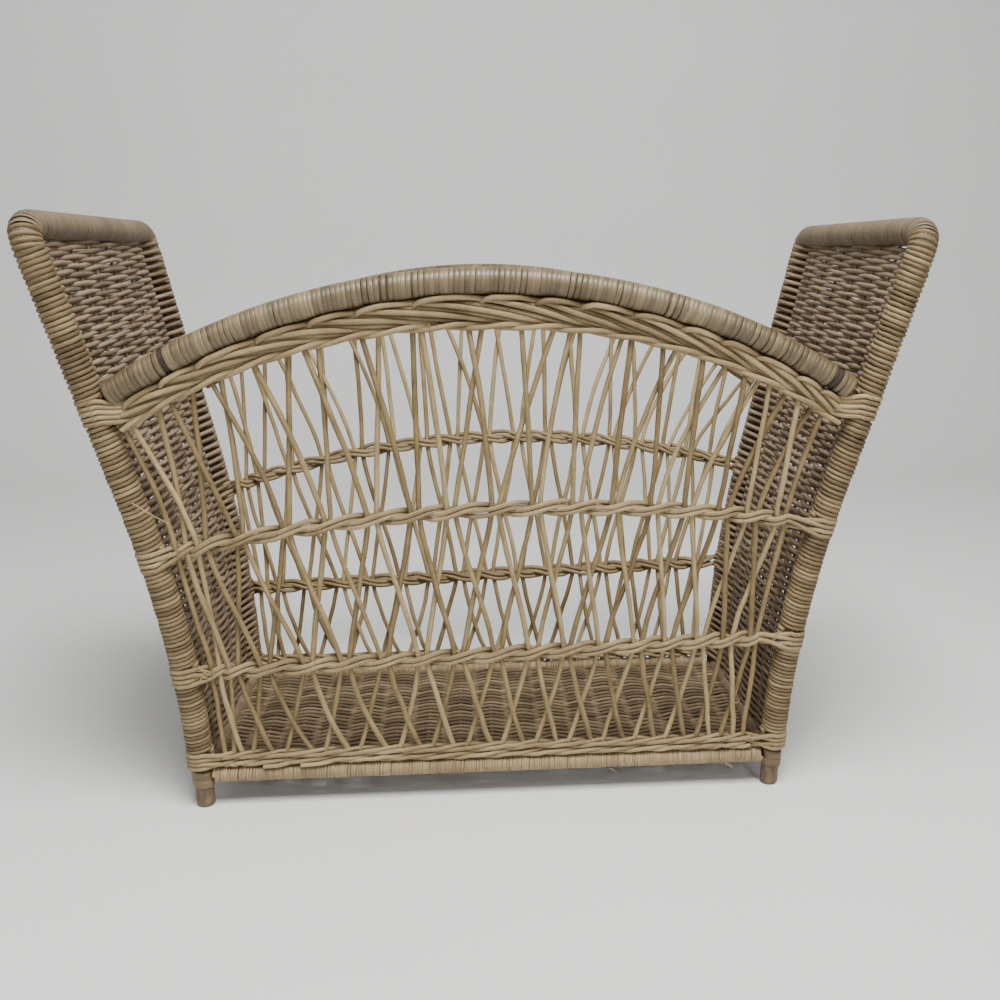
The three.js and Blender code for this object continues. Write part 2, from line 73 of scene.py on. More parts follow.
UP = np.array([0.0, 0.0, 1.0])
SIDES = {"front": -1, "rear": 1}
ENDS = {"left": -1, "right": 1}
CORNERS = {f"{side}_{end}": (ENDS[end], SIDES[side]) for side in SIDES for end in ENDS}

POST_WOUND_RADIUS = POST_RADIUS + 2 * REED_RADIUS
LEAN_FACTOR = math.hypot(1, LENGTH_LEANS[1])

# Rows of the end mats, whose reed turns round the rear posts, and the reed of the front posts
MAT_BOTTOM = 0.0262
MAT_TOP = 0.35
ROW_PITCHES = (0.00246, 0.00262)
TURNS_BOTTOM = 0.038
TURNS_TOP = 0.344
TURN_PITCHES = (0.0024, 0.00296)
TOP_TURN_HEIGHT = 0.3455
BEND_REACH = 0.015

# How far a rear post's turns bulge inwards, where the mat's rows join them, and how much higher the mats'
# top rows lie at the rear
TURN_BULGE = 0.0022
REAR_LIFT = 0.0038


def spread(foot, leans, height):
    """Reach of a post's axis from the middle, at a height."""
    lower, upper = leans
    bent = np.clip(height - BEND_START, 0, BEND_END - BEND_START)
    above = np.maximum(height - BEND_END, 0)
    gain = (upper - lower) / (BEND_END - BEND_START)
    return foot + lower * height + gain * bent**2 / 2 + (upper - lower) * above


def half_length(height):
    return spread(FOOT_HALF_LENGTH, LENGTH_LEANS, height)


def half_depth(height):
    return spread(FOOT_HALF_DEPTH, DEPTH_LEANS, height)


def stacked(x, y, z):
    """Points from their parts, of which any may be the same for all the points."""
    return np.stack(np.broadcast_arrays(x, y, z), axis=-1)


def unit(vectors):
    return vectors / np.linalg.norm(vectors, axis=-1, keepdims=True)


def panel_points(side, x, height, out):
    """Points of the front (-1) or rear (1) panel, moved outwards by out."""
    return stacked(x, side * (half_depth(height) + out), height)


def post_axis(end, side, heights):
    heights = np.asarray(heights, float)
    return stacked(end * half_length(heights), side * half_depth(heights), heights)


# The circle of the arched rails
arch_outer = ARCH_POLE_RADIUS + GAP + PEEL_THICKNESS
arch_open = half_length(ARCH_END_HEIGHT) - POST_WOUND_RADIUS * LEAN_FACTOR - GAP
arch_slope = 2 * math.atan(ARCH_RISE / arch_open)
arch_span = arch_open - arch_outer * (math.sin(arch_slope) - math.cos(arch_slope) * LENGTH_LEANS[1])
ARCH_RADIUS = (arch_span**2 + ARCH_RISE**2) / (2 * ARCH_RISE)
ARCH_CENTRE = ARCH_END_HEIGHT + ARCH_RISE - ARCH_RADIUS
ARCH_ANGLE = math.asin(arch_span / ARCH_RADIUS)
BORDER_OUTER = ARCH_RADIUS - arch_outer - 2 * GAP


def arch_points(side, radius, angle, out=0.0):
    height = ARCH_CENTRE + radius * np.cos(angle)
    return panel_points(side, radius * np.sin(angle), height, out)


def border_band(x):
    """Height of the plaited band at x, which thins towards the posts."""
    share = np.clip(np.abs(x) / (0.9 * arch_span), 0, 1)
    return BORDER_HEIGHTS[0] + (BORDER_HEIGHTS[1] - BORDER_HEIGHTS[0]) * share


# Places of the crossed stakes: columns at the wale, the two rows and the border, with room for the rows'
# turns round the posts
EDGE_ROOM = 0.00635
EDGE_INSET = POST_WOUND_RADIUS * LEAN_FACTOR + EDGE_ROOM + STAKE_RADIUS
LEVEL_HEIGHTS = (RAIL_HEIGHT, ROW_HEIGHTS[0], ROW_HEIGHTS[1], ARCH_END_HEIGHT - BORDER_HEIGHTS[1])


def level_reach(level):
    """Half of the width that the columns share at a level."""
    return half_length(LEVEL_HEIGHTS[level] - ROW_END_RISE) - EDGE_INSET


def column_x(index, level):
    return COLUMN_SHARES[index] * level_reach(level)


def row_height(side, level, x):
    share = x / half_length(LEVEL_HEIGHTS[level])
    rise = UPPER_ROW_RISES[side] * (1 - share**2) if level == 2 else 0
    return LEVEL_HEIGHTS[level] + ROW_END_RISE * share + rise


def border_low(x):
    """Height of the border's lower edge at x."""
    radius = BORDER_OUTER - border_band(x)
    return ARCH_CENTRE + np.sqrt(radius**2 - x**2)


def smooth_rise(value, low, high):
    share = np.clip((value - low) / (high - low), 0, 1)
    return share**2 * (3 - 2 * share)


def rows_between(bottom, top, pitches):
    """Heights and pitches of rows that fill a height, from the bottom up."""
    count = round(2 * (top - bottom) / sum(pitches))
    steps = np.linspace(*pitches, count)
    steps *= (top - bottom) / steps.sum()
    return bottom + np.cumsum(steps) - steps / 2, steps


def row_lift(height, share):
    """How much higher the mats' upper rows lie towards the rear."""
    return REAR_LIFT * share * smooth_rise(height, 0.15, 0.33)


# Half of the stretches of the posts that the rows' own strands turn round, and the places and halves of
# the borders' and wales' stretches
ROW_WRAP = 0.0061
OTHER_WRAPS = [(0.254, 0.0076), (0.0325, 0.0058)]


def end_height(side, level, end):
    """Height of a row at a post."""
    return row_height(side, level, end * half_length(LEVEL_HEIGHTS[level]))


def wraps_on_post(end, side):
    return [(end_height(side, level, end), ROW_WRAP) for level in (1, 2)] + OTHER_WRAPS


class Amount:
    """A number socket of a node graph that Python's operators work on."""

    def __init__(self, graph, socket):
        self.graph = graph
        self.socket = socket

    def _math(self, operation, *terms):
        return self.graph.node("ShaderNodeMath", {"operation": operation}, dict(enumerate(terms)))

    def __add__(self, other):
        return self._math("ADD", self, other)

    def __sub__(self, other):
        return self._math("SUBTRACT", self, other)

    def __rsub__(self, other):
        return self._math("SUBTRACT", other, self)

    def __mul__(self, other):
        return self._math("MULTIPLY", self, other)

    def __abs__(self):
        return self._math("ABSOLUTE", self)

    __radd__ = __add__
    __rmul__ = __mul__

    def cosine(self):
        return self._math("COSINE", self)

    def rise(self, low, high):
        """0 below low, 1 above high, and a smooth rise between them."""
        inputs = {"Value": self, "From Min": low, "From Max": high}
        return self.graph.node("ShaderNodeMapRange", {"interpolation_type": "SMOOTHSTEP"}, inputs)


class Graph:
    """A node tree whose nodes come from one method."""

    def __init__(self, tree):
        self.tree = tree

    def node(self, kind, settings=None, inputs=None, output=0):
        """Adds a node: its settings first, then the values or links of its sockets by name or place."""
        node = self.tree.nodes.new(kind)
        for name, value in (settings or {}).items():
            if name == "stops":
                while len(node.color_ramp.elements) < len(value):
                    node.color_ramp.elements.new(0.5)
                for element, (place, colour) in zip(node.color_ramp.elements, value):
                    element.position = place
                    element.color = colour
            else:
                setattr(node, name, value)
        for name, value in (inputs or {}).items():
            if isinstance(value, Amount):
                self.tree.links.new(value.socket, node.inputs[name])
            else:
                node.inputs[name].default_value = value
        if output is None:
            return node
        return Amount(self, node.outputs[output])


# How far apart the tones set the strands' own noise, and the noise that swells and thins them
TONE_SEEDS = 40
SWELL_SCALE = 90.0


def build_strand_tree():
    """Sweeps a round or flat section along each path, and marks where along and around it a point is."""
    tree = bpy.data.node_groups.new("strands along their paths", "GeometryNodeTree")
    sockets = {
        "Paths": "Geometry",
        "Smoothness": "Int",
        "Section Sides": "Int",
        "Flatness": "Float",
        "Wander": "Float",
        "Wander Scale": "Float",
        "Thickness Variation": "Float",
        "Seed": "Float",
        "Finish": "Material",
    }
    for name, kind in sockets.items():
        tree.interface.new_socket(name, in_out="INPUT", socket_type="NodeSocket" + kind)
    tree.interface.new_socket("Geometry", in_out="OUTPUT", socket_type="NodeSocketGeometry")
    graph = Graph(tree)
    given = graph.node("NodeGroupInput", output=None)
    socket = {name: Amount(graph, given.outputs[name]) for name in sockets}

    def step(kind, inputs=None, output=0, **settings):
        return graph.node("GeometryNode" + kind, settings, inputs, output)

    def stored(name, kind="FLOAT"):
        return step("InputNamedAttribute", {"Name": name}, data_type=kind)

    def store(geometry, name, value):
        inputs = {"Geometry": geometry, "Name": name, "Value": value}
        return step("StoreNamedAttribute", inputs, data_type="FLOAT", domain="POINT")

    def vector(operation, *terms, output="Vector", **others):
        inputs = {**dict(enumerate(terms)), **others}
        return graph.node("ShaderNodeVectorMath", {"operation": operation}, inputs, output)

    def noise(seed, scale, output):
        inputs = {"Vector": place, "W": seed, "Scale": scale, "Detail": 1.0}
        return graph.node("ShaderNodeTexNoise", {"noise_dimensions": "4D"}, inputs, output)

    curve = step("MeshToCurve", {"Mesh": socket["Paths"]})
    curve = step("CurveSplineType", {"Curve": curve}, spline_type="CATMULL_ROM")
    curve = step("SetSplineResolution", {"Geometry": curve, "Resolution": socket["Smoothness"]})
    curve = step("ResampleCurve", {"Curve": curve}, mode="EVALUATED")
    seed = stored("strand_tone") * TONE_SEEDS + socket["Seed"]
    place = step("InputPosition")
    drift = vector("SUBTRACT", noise(seed, socket["Wander Scale"], "Color"), (0.5, 0.5, 0.5))
    drift = vector("SCALE", drift, Scale=socket["Wander"] * 2)
    curve = step("SetPosition", {"Geometry": curve, "Offset": drift})
    curve = store(curve, "strand_along", step("SplineParameter", output="Length"))
    face = stored("strand_face", "FLOAT_VECTOR")
    tangent = step("InputTangent")
    along = vector("SCALE", tangent, Scale=vector("DOT_PRODUCT", face, tangent, output="Value"))
    normal = vector("NORMALIZE", vector("SUBTRACT", face, along))
    curve = step("SetCurveNormal", {"Curve": curve, "Normal": normal}, mode="FREE")
    swell = noise(seed + 7, SWELL_SCALE, "Fac")
    radius = stored("strand_radius") * (1 + (swell - 0.5) * 2 * socket["Thickness Variation"])
    inputs = {"Resolution": socket["Section Sides"], "Radius": 1.0}
    section = step("CurvePrimitiveCircle", inputs, mode="RADIUS")
    section = store(section, "strand_around", step("SplineParameter", output="Factor"))
    squeeze = graph.node("ShaderNodeCombineXYZ", None, {"X": socket["Flatness"], "Y": 1.0, "Z": 1.0})
    section = step("Transform", {"Geometry": section, "Scale": squeeze})
    inputs = {"Curve": curve, "Profile Curve": section, "Scale": radius, "Fill Caps": True}
    mesh = step("CurveToMesh", inputs)
    mesh = step("SetShadeSmooth", {"Geometry": mesh, "Shade Smooth": True})
    mesh = step("RealizeInstances", {"Geometry": mesh})
    mesh = step("SetMaterial", {"Geometry": mesh, "Material": socket["Finish"]})
    graph.node("NodeGroupOutput", None, {"Geometry": mesh}, None)
    return tree


STRAND_TREE = build_strand_tree()

# How each kind of strand is swept: curve steps between its points, sides round it, how far it strays and
# on what scale, and how much its thickness varies
SWEEP_SIZES = ("Smoothness", "Section Sides", "Wander", "Wander Scale", "Thickness Variation")
SWEEPS = {
    "pole": (1, 20, 0.0002, 30.0, 0.0),
    "peel": (1, 8, 0.0001, 150.0, 0.0),
    "post reed": (2, 8, 0.0002, 110.0, 0.09),
    "rail reed": (1, 7, 0.0002, 120.0, 0.0),
    "stake": (4, 9, 0.0006, 12.0, 0.12),
    "twined rod": (4, 9, 0.0002, 40.0, 0.1),
    "wale rod": (4, 8, 0.0003, 40.0, 0.1),
    "border strand": (5, 9, 0.0002, 35.0, 0.08),
    "border end": (4, 9, 0.0003, 50.0, 0.08),
    "mat reed": (4, 8, 0.0003, 70.0, 0.13),
    "floor reed": (3, 7, 0.0003, 60.0, 0.12),
    "loose fibre": (3, 6, 0.0, 60.0, 0.0),
}


class Strands:
    """Control points of many strands, with the radius, tone and facing of each point."""

    def __init__(self, seed):
        self.random = np.random.default_rng(seed)
        self.points, self.radius, self.tone, self.face, self.edges = [], [], [], [], []

    def add(self, points, radius, face, tone=None):
        points = np.asarray(points, float)
        count = len(points)
        first = len(self.points)
        self.edges += [(first + i, first + i + 1) for i in range(count - 1)]
        self.points += points.tolist()
        self.radius += np.broadcast_to(radius, count).tolist()
        tone = self.random.random() if tone is None else tone
        self.tone += np.broadcast_to(tone, count).tolist()
        self.face += np.broadcast_to(face, (count, 3)).tolist()

    def piece(self, name, finish, slot, kind, *nodes, flatness=1.0):
        """The finished piece, of one of the kinds in SWEEPS, which stands for CAD nodes."""
        sizes = {"Finish": finish, "Flatness": flatness, **dict(zip(SWEEP_SIZES, SWEEPS[kind]))}
        mesh = bpy.data.meshes.new(name)
        mesh.from_pydata(self.points, self.edges, [])
        for attribute, layer_type, key, values in (
            ("strand_radius", "FLOAT", "value", self.radius),
            ("strand_tone", "FLOAT", "value", self.tone),
            ("strand_face", "FLOAT_VECTOR", "vector", self.face),
        ):
            layer = mesh.attributes.new(attribute, layer_type, "POINT")
            layer.data.foreach_set(key, np.array(values, np.float32).ravel())
        piece = placed(name, mesh)
        modifier = piece.modifiers.new("strands", "NODES")
        modifier.node_group = STRAND_TREE
        for item in STRAND_TREE.interface.items_tree:
            if item.in_out == "INPUT" and item.name in sizes:
                modifier[item.identifier] = sizes[item.name]
        settle(piece)
        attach(piece, "root")
        if nodes:
            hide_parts(*nodes)


def settle(piece):
    """Turns what the modifier makes into the piece's own mesh."""
    graph = bpy.context.evaluated_depsgraph_get()
    swept = piece.evaluated_get(graph)
    made = bpy.data.meshes.new_from_object(swept, preserve_all_data_layers=True, depsgraph=graph)
    piece.modifiers.clear()
    piece.data = made


def placed(name, data):
    """A new object of the scene."""
    thing = bpy.data.objects.new(name, data)
    bpy.context.scene.collection.objects.link(thing)
    return thing


def arc_lengths(points):
    steps = np.linalg.norm(np.diff(points, axis=0), axis=1)
    return np.concatenate([[0], np.cumsum(steps)])


def along_path(points, lengths):
    """Points and directions at lengths along a dense path."""
    total = arc_lengths(points)
    place = np.stack([np.interp(lengths, total, points[:, k]) for k in range(3)], axis=-1)
    slope = np.gradient(points, total, axis=0)
    direction = np.stack([np.interp(lengths, total, slope[:, k]) for k in range(3)], axis=-1)
    return place, unit(direction)


def wind(strands, path, radius, width, reference, steps, start=0.0, end=None, spread_share=0.08,
         tone_spread=0.5, wraps=0.0, strand_radius=None):
    """Winds one strand round a dense path, turn beside turn, each of its own width and tone."""
    random = strands.random
    total = arc_lengths(path)[-1] if end is None else end
    count = max(2, round((total - start) / width))
    widths = random.normal(1, spread_share, count).clip(0.6, 1.5)
    edges = start + (total - start) * np.concatenate([[0], np.cumsum(widths)]) / widths.sum()
    turns = np.arange(count * steps + 1) / steps
    lengths = np.interp(turns, np.arange(count + 1), edges)
    centre, along = along_path(path, lengths)
    across = unit(np.cross(along, reference))
    out = np.cross(across, along)
    angle = 2 * np.pi * turns + wraps
    face = across * np.cos(angle)[:, None] + out * np.sin(angle)[:, None]
    tones = random.random(count + 1) * tone_spread + (1 - tone_spread) / 2
    tone = tones[np.minimum(turns.astype(int), count)]
    thick = width / 2 if strand_radius is None else strand_radius
    strands.add(centre + face * radius, thick, face, tone)


# Finishes

def finish_graph(name, *shades):
    """A new material, its graph, the place in the piece and colours, given as a screen shows them."""
    material = bpy.data.materials.new(name)
    material.use_nodes = True
    material.node_tree.nodes.clear()
    graph = Graph(material.node_tree)
    place = graph.node("ShaderNodeTexCoord", None, None, "Object")
    colours = [(*(((part / 255 + 0.055) / 1.055) ** 2.4 for part in shade), 1) for shade in shades]
    return material, graph, place, colours


def strand_marks(graph):
    """A strand's tone, the length along it and the place round it, from 0 to 1."""
    names = ("strand_tone", "strand_along", "strand_around")
    return [graph.node("ShaderNodeAttribute", {"attribute_name": name}, None, "Fac") for name in names]


def mottle(graph, place, scale, detail=2.0, roughness=0.5):
    inputs = {"Vector": place, "Scale": scale, "Detail": detail, "Roughness": roughness}
    return graph.node("ShaderNodeTexNoise", None, inputs)


def ramp(graph, level, *stops):
    return graph.node("ShaderNodeValToRGB", {"stops": stops}, {"Fac": level}, "Color")


def dimmed(colour, share):
    return *(share * part for part in colour[:3]), 1


def blended(graph, share, first, second):
    """The first colour, or the second one where the share is 1."""
    return graph.node("ShaderNodeMix", {"data_type": "RGBA"}, {0: share, 6: first, 7: second}, 2)


def close_finish(graph, colour, roughness, height, bump, distance, constants=None):
    inputs = {"Strength": bump, "Distance": distance, "Height": height}
    normal = graph.node("ShaderNodeBump", None, inputs)
    inputs = {"Base Color": colour, "Roughness": roughness, "Normal": normal, **(constants or {})}
    shader = graph.node("ShaderNodeBsdfPrincipled", None, inputs)
    graph.node("ShaderNodeOutputMaterial", None, {"Surface": shader}, None)


def reed_finish(name, *shades, crevice_shade, stain, gloss=0.5):
    """Round reed: its own tone, fibres along it, brown stains, and painted shade on its sides where it meets
    its neighbours.
    """
    material, graph, place, (dark, middle, pale) = finish_graph(name, *shades)
    tone, along, around = strand_marks(graph)
    angle = around * (2 * math.pi)
    inputs = {"X": along * 60, "Y": angle.cosine() * 3, "Z": tone * 31 + abs(around - 0.5) * 9}
    fibre = mottle(graph, graph.node("ShaderNodeCombineXYZ", None, inputs), 1.0, 4.0, 0.6)
    cloud = mottle(graph, place, 42.0, 3.0, 0.55)
    speck = mottle(graph, place, 520.0)
    level = tone * 0.28 + fibre * 0.5 + cloud * 0.45 + speck * 0.17
    colour = ramp(graph, level, (0.42, dark), (0.7, middle), (1.0, pale))
    stained = cloud.rise(0.56, 0.78) * fibre.rise(0.4, 0.7) * stain
    colour = blended(graph, stained, colour, dimmed(dark, 0.45))
    # Painted shade: the strand's sides, turned away from the way it faces, are darkened by the groove share,
    # where neighbouring strands would shade them
    shade = 1 - abs(angle.cosine()).rise(-0.2, 0.75)
    colour = blended(graph, shade * crevice_shade, colour, dimmed(dark, 0.3))
    roughness = 0.75 - gloss * 0.3 + fibre * 0.15
    close_finish(graph, colour, roughness, fibre + speck * 0.6, 0.35, 0.0004, {"Specular IOR Level": 0.35})
    return material


def split_marks(graph, place, splits):
    """Where the winding has split: short dark marks on a bar's lower half, by end and depth."""
    x, y, z = (graph.node("ShaderNodeSeparateXYZ", None, {"Vector": place}, axis) for axis in "XYZ")
    marks = 0
    for end, depth in splits:
        beside = abs(y - depth).rise(0.0005, 0.0015)
        marks = (1 - beside) * (x * end).rise(0.0, 0.01) + marks
    return marks * (1 - z.rise(HANDLE_HEIGHT - 0.003, HANDLE_HEIGHT + 0.003))


def peel_finish(name, *shades, gloss, stain, seams, splits=()):
    """Flat peel: its own tone each turn, fibres along it, dark seams, and old winding in its gaps painted
    near black as painted shade.
    """
    material, graph, place, (dark, middle, pale) = finish_graph(name, *shades)
    tone, along, around = strand_marks(graph)
    across = (around * (2 * math.pi) - math.pi / 2).cosine()
    inputs = {"X": along * 45, "Y": across * 4, "Z": tone * 31}
    fibre = mottle(graph, graph.node("ShaderNodeCombineXYZ", None, inputs), 1.0, 3.0, 0.55)
    cloud = mottle(graph, place, 24.0, 3.0)
    knots = mottle(graph, place, 130.0)
    level = tone * 0.22 + fibre * 0.6 + cloud * 0.5
    colour = ramp(graph, level, (0.44, dark), (0.73, middle), (1.0, pale))
    colour = blended(graph, cloud.rise(0.58, 0.75) * stain, colour, dimmed(dark, 0.5))
    seam = abs(across).rise(0.74, 1.0) * (0.16 + knots.rise(0.56, 0.66) * seams)
    colour = blended(graph, seam, colour, dimmed(dark, 0.25))
    # Painted shade: winding with the gap tone is darkened almost to black and made matt
    gap_shade = (0 - tone).rise(0.4, 1.0)
    colour = blended(graph, gap_shade * 0.65, colour, dimmed(dark, 0.2))
    if splits:
        colour = blended(graph, split_marks(graph, place, splits) * 0.85, colour, dimmed(dark, 0.15))
    roughness = 0.66 - gloss * 0.38 + fibre * 0.14 + gap_shade * 0.4
    constants = {"Specular IOR Level": 0.5, "Coat Roughness": 0.25, "Coat Weight": 0.25 * gloss}
    close_finish(graph, colour, roughness, fibre, 0.3, 0.0003, constants)
    return material


def pole_finish(name, *shades):
    """Bare rattan pole, with grain along it and worn, dirty places."""
    material, graph, place, (dark, middle, pale) = finish_graph(name, *shades)
    stretched = graph.node("ShaderNodeMapping", None, {"Vector": place, "Scale": (1.0, 1.0, 0.09)})
    grain = mottle(graph, stretched, 900.0, 3.0, 0.6)
    cloud = mottle(graph, place, 150.0, 4.0, 0.6)
    level = grain * 0.45 + cloud * 0.55
    colour = ramp(graph, level, (0.35, dark), (0.5, middle), (0.72, pale))
    close_finish(graph, colour, 0.55 + cloud * 0.25, grain + cloud, 0.5, 0.0004)
    return material


wound_reed = reed_finish("wound reed", (62, 47, 27), (117, 98, 67), (163, 144, 106), crevice_shade=0.52, stain=0.8)
open_reed = reed_finish("open reed", (86, 69, 40), (138, 118, 80), (184, 165, 122), crevice_shade=0.25, stain=0.4)
border_reed = reed_finish(
    "border reed", (86, 68, 41), (142, 122, 87), (192, 173, 133), crevice_shade=0.55, stain=0.6
)
woven_reed = reed_finish(
    "woven reed", (72, 56, 39), (123, 105, 82), (154, 136, 110), crevice_shade=0.35, stain=0.5, gloss=0.2
)
# Painted shade: a darker copy of the woven reed for the floor, which lies in the basket's shade, with deeper
# painted shade on the strands' sides
shaded_floor_reed = reed_finish(
    "floor reed", (62, 48, 32), (116, 98, 73), (156, 138, 108), crevice_shade=0.62, stain=0.6, gloss=0.2
)
arch_peel = peel_finish(
    "arch peel", (64, 51, 30), (110, 95, 66), (173, 154, 114), gloss=0.7, stain=0.4, seams=0.5
)
handle_peel = peel_finish(
    "handle peel", (84, 68, 46), (115, 99, 74), (144, 127, 98), gloss=0.3, stain=0.3, seams=0.3,
    splits=((-1, -0.096), (-1, -0.031), (1, -0.01), (1, -0.096))
)
rail_peel = peel_finish(
    "rail peel", (112, 91, 60), (152, 131, 95), (184, 166, 129), gloss=0.4, stain=0.3, seams=0.45
)
foot_peel = peel_finish(
    "foot peel", (76, 58, 34), (112, 93, 64), (140, 121, 88), gloss=0.4, stain=0.5, seams=0.4
)
bare_pole = pole_finish("bare pole", (52, 38, 25), (98, 80, 57), (128, 109, 82))


# Posts, handle bars and arched rails

def pole_piece(name, path, radius, node):
    pole = Strands(3)
    pole.add(path, radius, (1.0, 0.2, 0.1))
    pole.piece(name, bare_pole, "rattan_pole", "pole", node)


# Heights of a foot's rounded edge, with its share of the radius there, and of the pole's upper end
FOOT_HEIGHTS = (0.0005, 0.001, 0.002)
FOOT_SHARES = (0.9, 0.97, 1)
POST_TOP = 0.342


def post_piece(name, end, side):
    heights = np.concatenate([FOOT_HEIGHTS, np.linspace(0.006, POST_TOP, 40)])
    radii = np.full(len(heights), POST_RADIUS)
    radii[: len(FOOT_SHARES)] *= FOOT_SHARES
    pole_piece(f"post_pole_{name}", post_axis(end, side, heights), radii, f"post_{name}")


def post_turn(end, side, heights, radius, angles):
    """Points round a post at heights. Angle 0 faces out of the long side, and 90 out of the end."""
    centre = post_axis(end, side, heights)
    middle = float(np.mean(heights))
    low, high = post_axis(end, side, [middle - 0.001, middle + 0.001])
    axis = unit(high - low)
    forward = unit(np.array([0, side, 0]) - axis * axis[1] * side)
    away = np.array([end, 0, 0]) - axis * axis[0] * end
    away = unit(away - forward * (away @ forward))
    angle = np.radians(angles)[:, None]
    radius = np.broadcast_to(radius, len(angles))[:, None]
    return centre + radius * (forward * np.cos(angle) + away * np.sin(angle))


def corner_bend(before, corner, after):
    """A round bend from one straight stretch to the next."""
    share = np.linspace(0, 1, 14)[:, None]
    return (1 - share) ** 2 * before + 2 * share * (1 - share) * corner + share**2 * after


# Height where the routes start, and their length from there to where the peel begins, part of the way
# round a bend
ROUTE_START = 0.3
PEEL_START = (HANDLE_HEIGHT - ROUTE_START) * LEAN_FACTOR - 0.0035


def end_route(end):
    """Axis of one end's frame near the top: up a post, over the handle bar and down the other post."""
    halves = []
    for side in (-1, 1):
        low = HANDLE_HEIGHT - BEND_REACH / LEAN_FACTOR
        corner, below = post_axis(end, side, [HANDLE_HEIGHT, low])
        beside = corner - np.array([0, side * BEND_REACH, 0])
        post = post_axis(end, side, np.linspace(ROUTE_START, low, 20)[:-1])
        halves.append(np.concatenate([post, corner_bend(below, corner, beside)]))
    route = np.concatenate([halves[0], halves[1][::-1]])
    return along_path(route, np.linspace(0, arc_lengths(route)[-1], 600))[0]


def post_winding(name, end, side, seed):
    """Turns of reed up a post. At the rear they are the mat's own rows, one and a half turns for two."""
    reeds = Strands(seed)
    random = reeds.random
    if side < 0:
        heights, pitches = rows_between(TURNS_BOTTOM, TURNS_TOP, TURN_PITCHES)
        angles, climb_shares, step, first = np.linspace(180, -180, 21), (-0.5, 0.5), 1, 0
    else:
        heights, pitches = rows_between(MAT_BOTTOM, MAT_TOP, ROW_PITCHES)
        heights, pitches = (heights[:-1] + heights[1:]) / 2, pitches[:-1]
        angles, climb_shares, step, first = np.linspace(90, -450, 29), (-0.75, 0.75), 2, 1
        heights = heights + row_lift(heights, 1)
    kept = heights < TOP_TURN_HEIGHT
    heights, pitches = heights[kept], pitches[kept]
    for height, pitch in zip(heights[first::step], pitches[first::step]):
        if any(abs(height - place) < half - 0.0006 for place, half in wraps_on_post(end, side)):
            continue
        thickness = pitch * random.uniform(0.97, 1.08)
        climbs = pitch * np.linspace(*climb_shares, len(angles)) + random.normal(0, 0.00008, len(angles))
        radius = POST_RADIUS - 0.0001 + thickness / 2 + random.normal(0, 0.00006)
        if side > 0:
            radius = radius + TURN_BULGE * np.cos(np.radians(angles + 180)).clip(0) ** 2
        path = post_turn(end, side, height + climbs, radius, angles)
        reeds.add(path, thickness / 2, path - post_axis(end, side, height + climbs))
    route = end_route(end)
    if side > 0:
        route = route[::-1]
    start = (heights[-1] + pitches[-1] / 2 - ROUTE_START) * LEAN_FACTOR
    radius = POST_RADIUS + TURN_PITCHES[1] / 2 - 0.0001
    wind(reeds, route, radius, TURN_PITCHES[1], (0, -1, 0.3), 22, start, PEEL_START + 0.001, wraps=side)
    reeds.piece(f"wound_post_{name}", wound_reed, "round_reed", "post reed", f"post_winding_{name}")


# Half of a turn's width on its pitch, with its lap, and the tone that paints the winding in a gap near black,
# as painted shade
PEEL_HALF_SHARE = 0.57
GAP_SHADE_TONE = -1.5


def peel_piece(name, path, core, width, finish, node, seed, reference, steps=18, spread_share=0.12,
               flat_share=1.0, stretches=((0.0, None),)):
    """Flat peel wound along stretches of a dense path, with its edges a little lapped."""
    peels = Strands(seed)
    thickness = flat_share * PEEL_THICKNESS
    for start, end in stretches:
        wind(peels, path, core + PEEL_THICKNESS - thickness / 2, width, reference, steps, start, end,
             spread_share, tone_spread=0.8, strand_radius=PEEL_HALF_SHARE * width)
    first = len(peels.tone)
    for (_, before), (after, _) in zip(stretches, stretches[1:]):
        wind(peels, path, core, width, reference, steps, before, after, strand_radius=0.4 * width)
    # Painted shade: the winding under the gaps gets the tone that the finish paints near black
    peels.tone[first:] = [GAP_SHADE_TONE] * (len(peels.tone) - first)
    flatness = thickness / (2 * PEEL_HALF_SHARE * width)
    peels.piece(name, finish, "flat_peel", "peel", node, flatness=flatness)


# Room at the ends of the arch's peel, and gaps near both ends, each by its start and end
ARCH_PEEL_INSETS = (0.0008, 0.0015)
LEFT_GAP = (0.037, 0.0406)
RIGHT_GAP = (0.0158, 0.0108)


def arched_rail(name, side, seed):
    angles = np.linspace(-ARCH_ANGLE, ARCH_ANGLE, 400)
    path = arch_points(side, ARCH_RADIUS, angles)
    pole_piece(f"arch_core_{name}", path[::8], ARCH_POLE_RADIUS, f"arch_pole_{name}")
    length = arc_lengths(path)[-1]
    # At the front the peel has parted near both ends, and the old winding that shows in the gaps is painted
    # near black as painted shade
    breaks = [*LEFT_GAP, *(length - rest for rest in RIGHT_GAP)] if side < 0 else []
    edges = [ARCH_PEEL_INSETS[0], *breaks, length - ARCH_PEEL_INSETS[1]]
    stretches = list(zip(edges[::2], edges[1::2]))
    peel_piece(f"arch_peel_{name}", path, ARCH_POLE_RADIUS, PEEL_WIDTHS["arch"], arch_peel,
               f"arch_binding_{name}", seed, (0, -1, 0), 20, 0.2, 0.7, stretches)


def handle_bar(name, end, seed):
    """A bar whose ends bend down into the posts, under one winding of peel."""
    route = end_route(end)
    total = arc_lengths(route)[-1]
    pole_piece(f"handle_core_{name}", route[40:-40:8], HANDLE_RADIUS, f"handle_pole_{name}")
    peel_piece(f"handle_peel_{name}", route, HANDLE_RADIUS, PEEL_WIDTHS["handle"], handle_peel,
               f"handle_binding_{name}", seed, (1, 0, 0), flat_share=0.6,
               stretches=((PEEL_START, total - PEEL_START),))


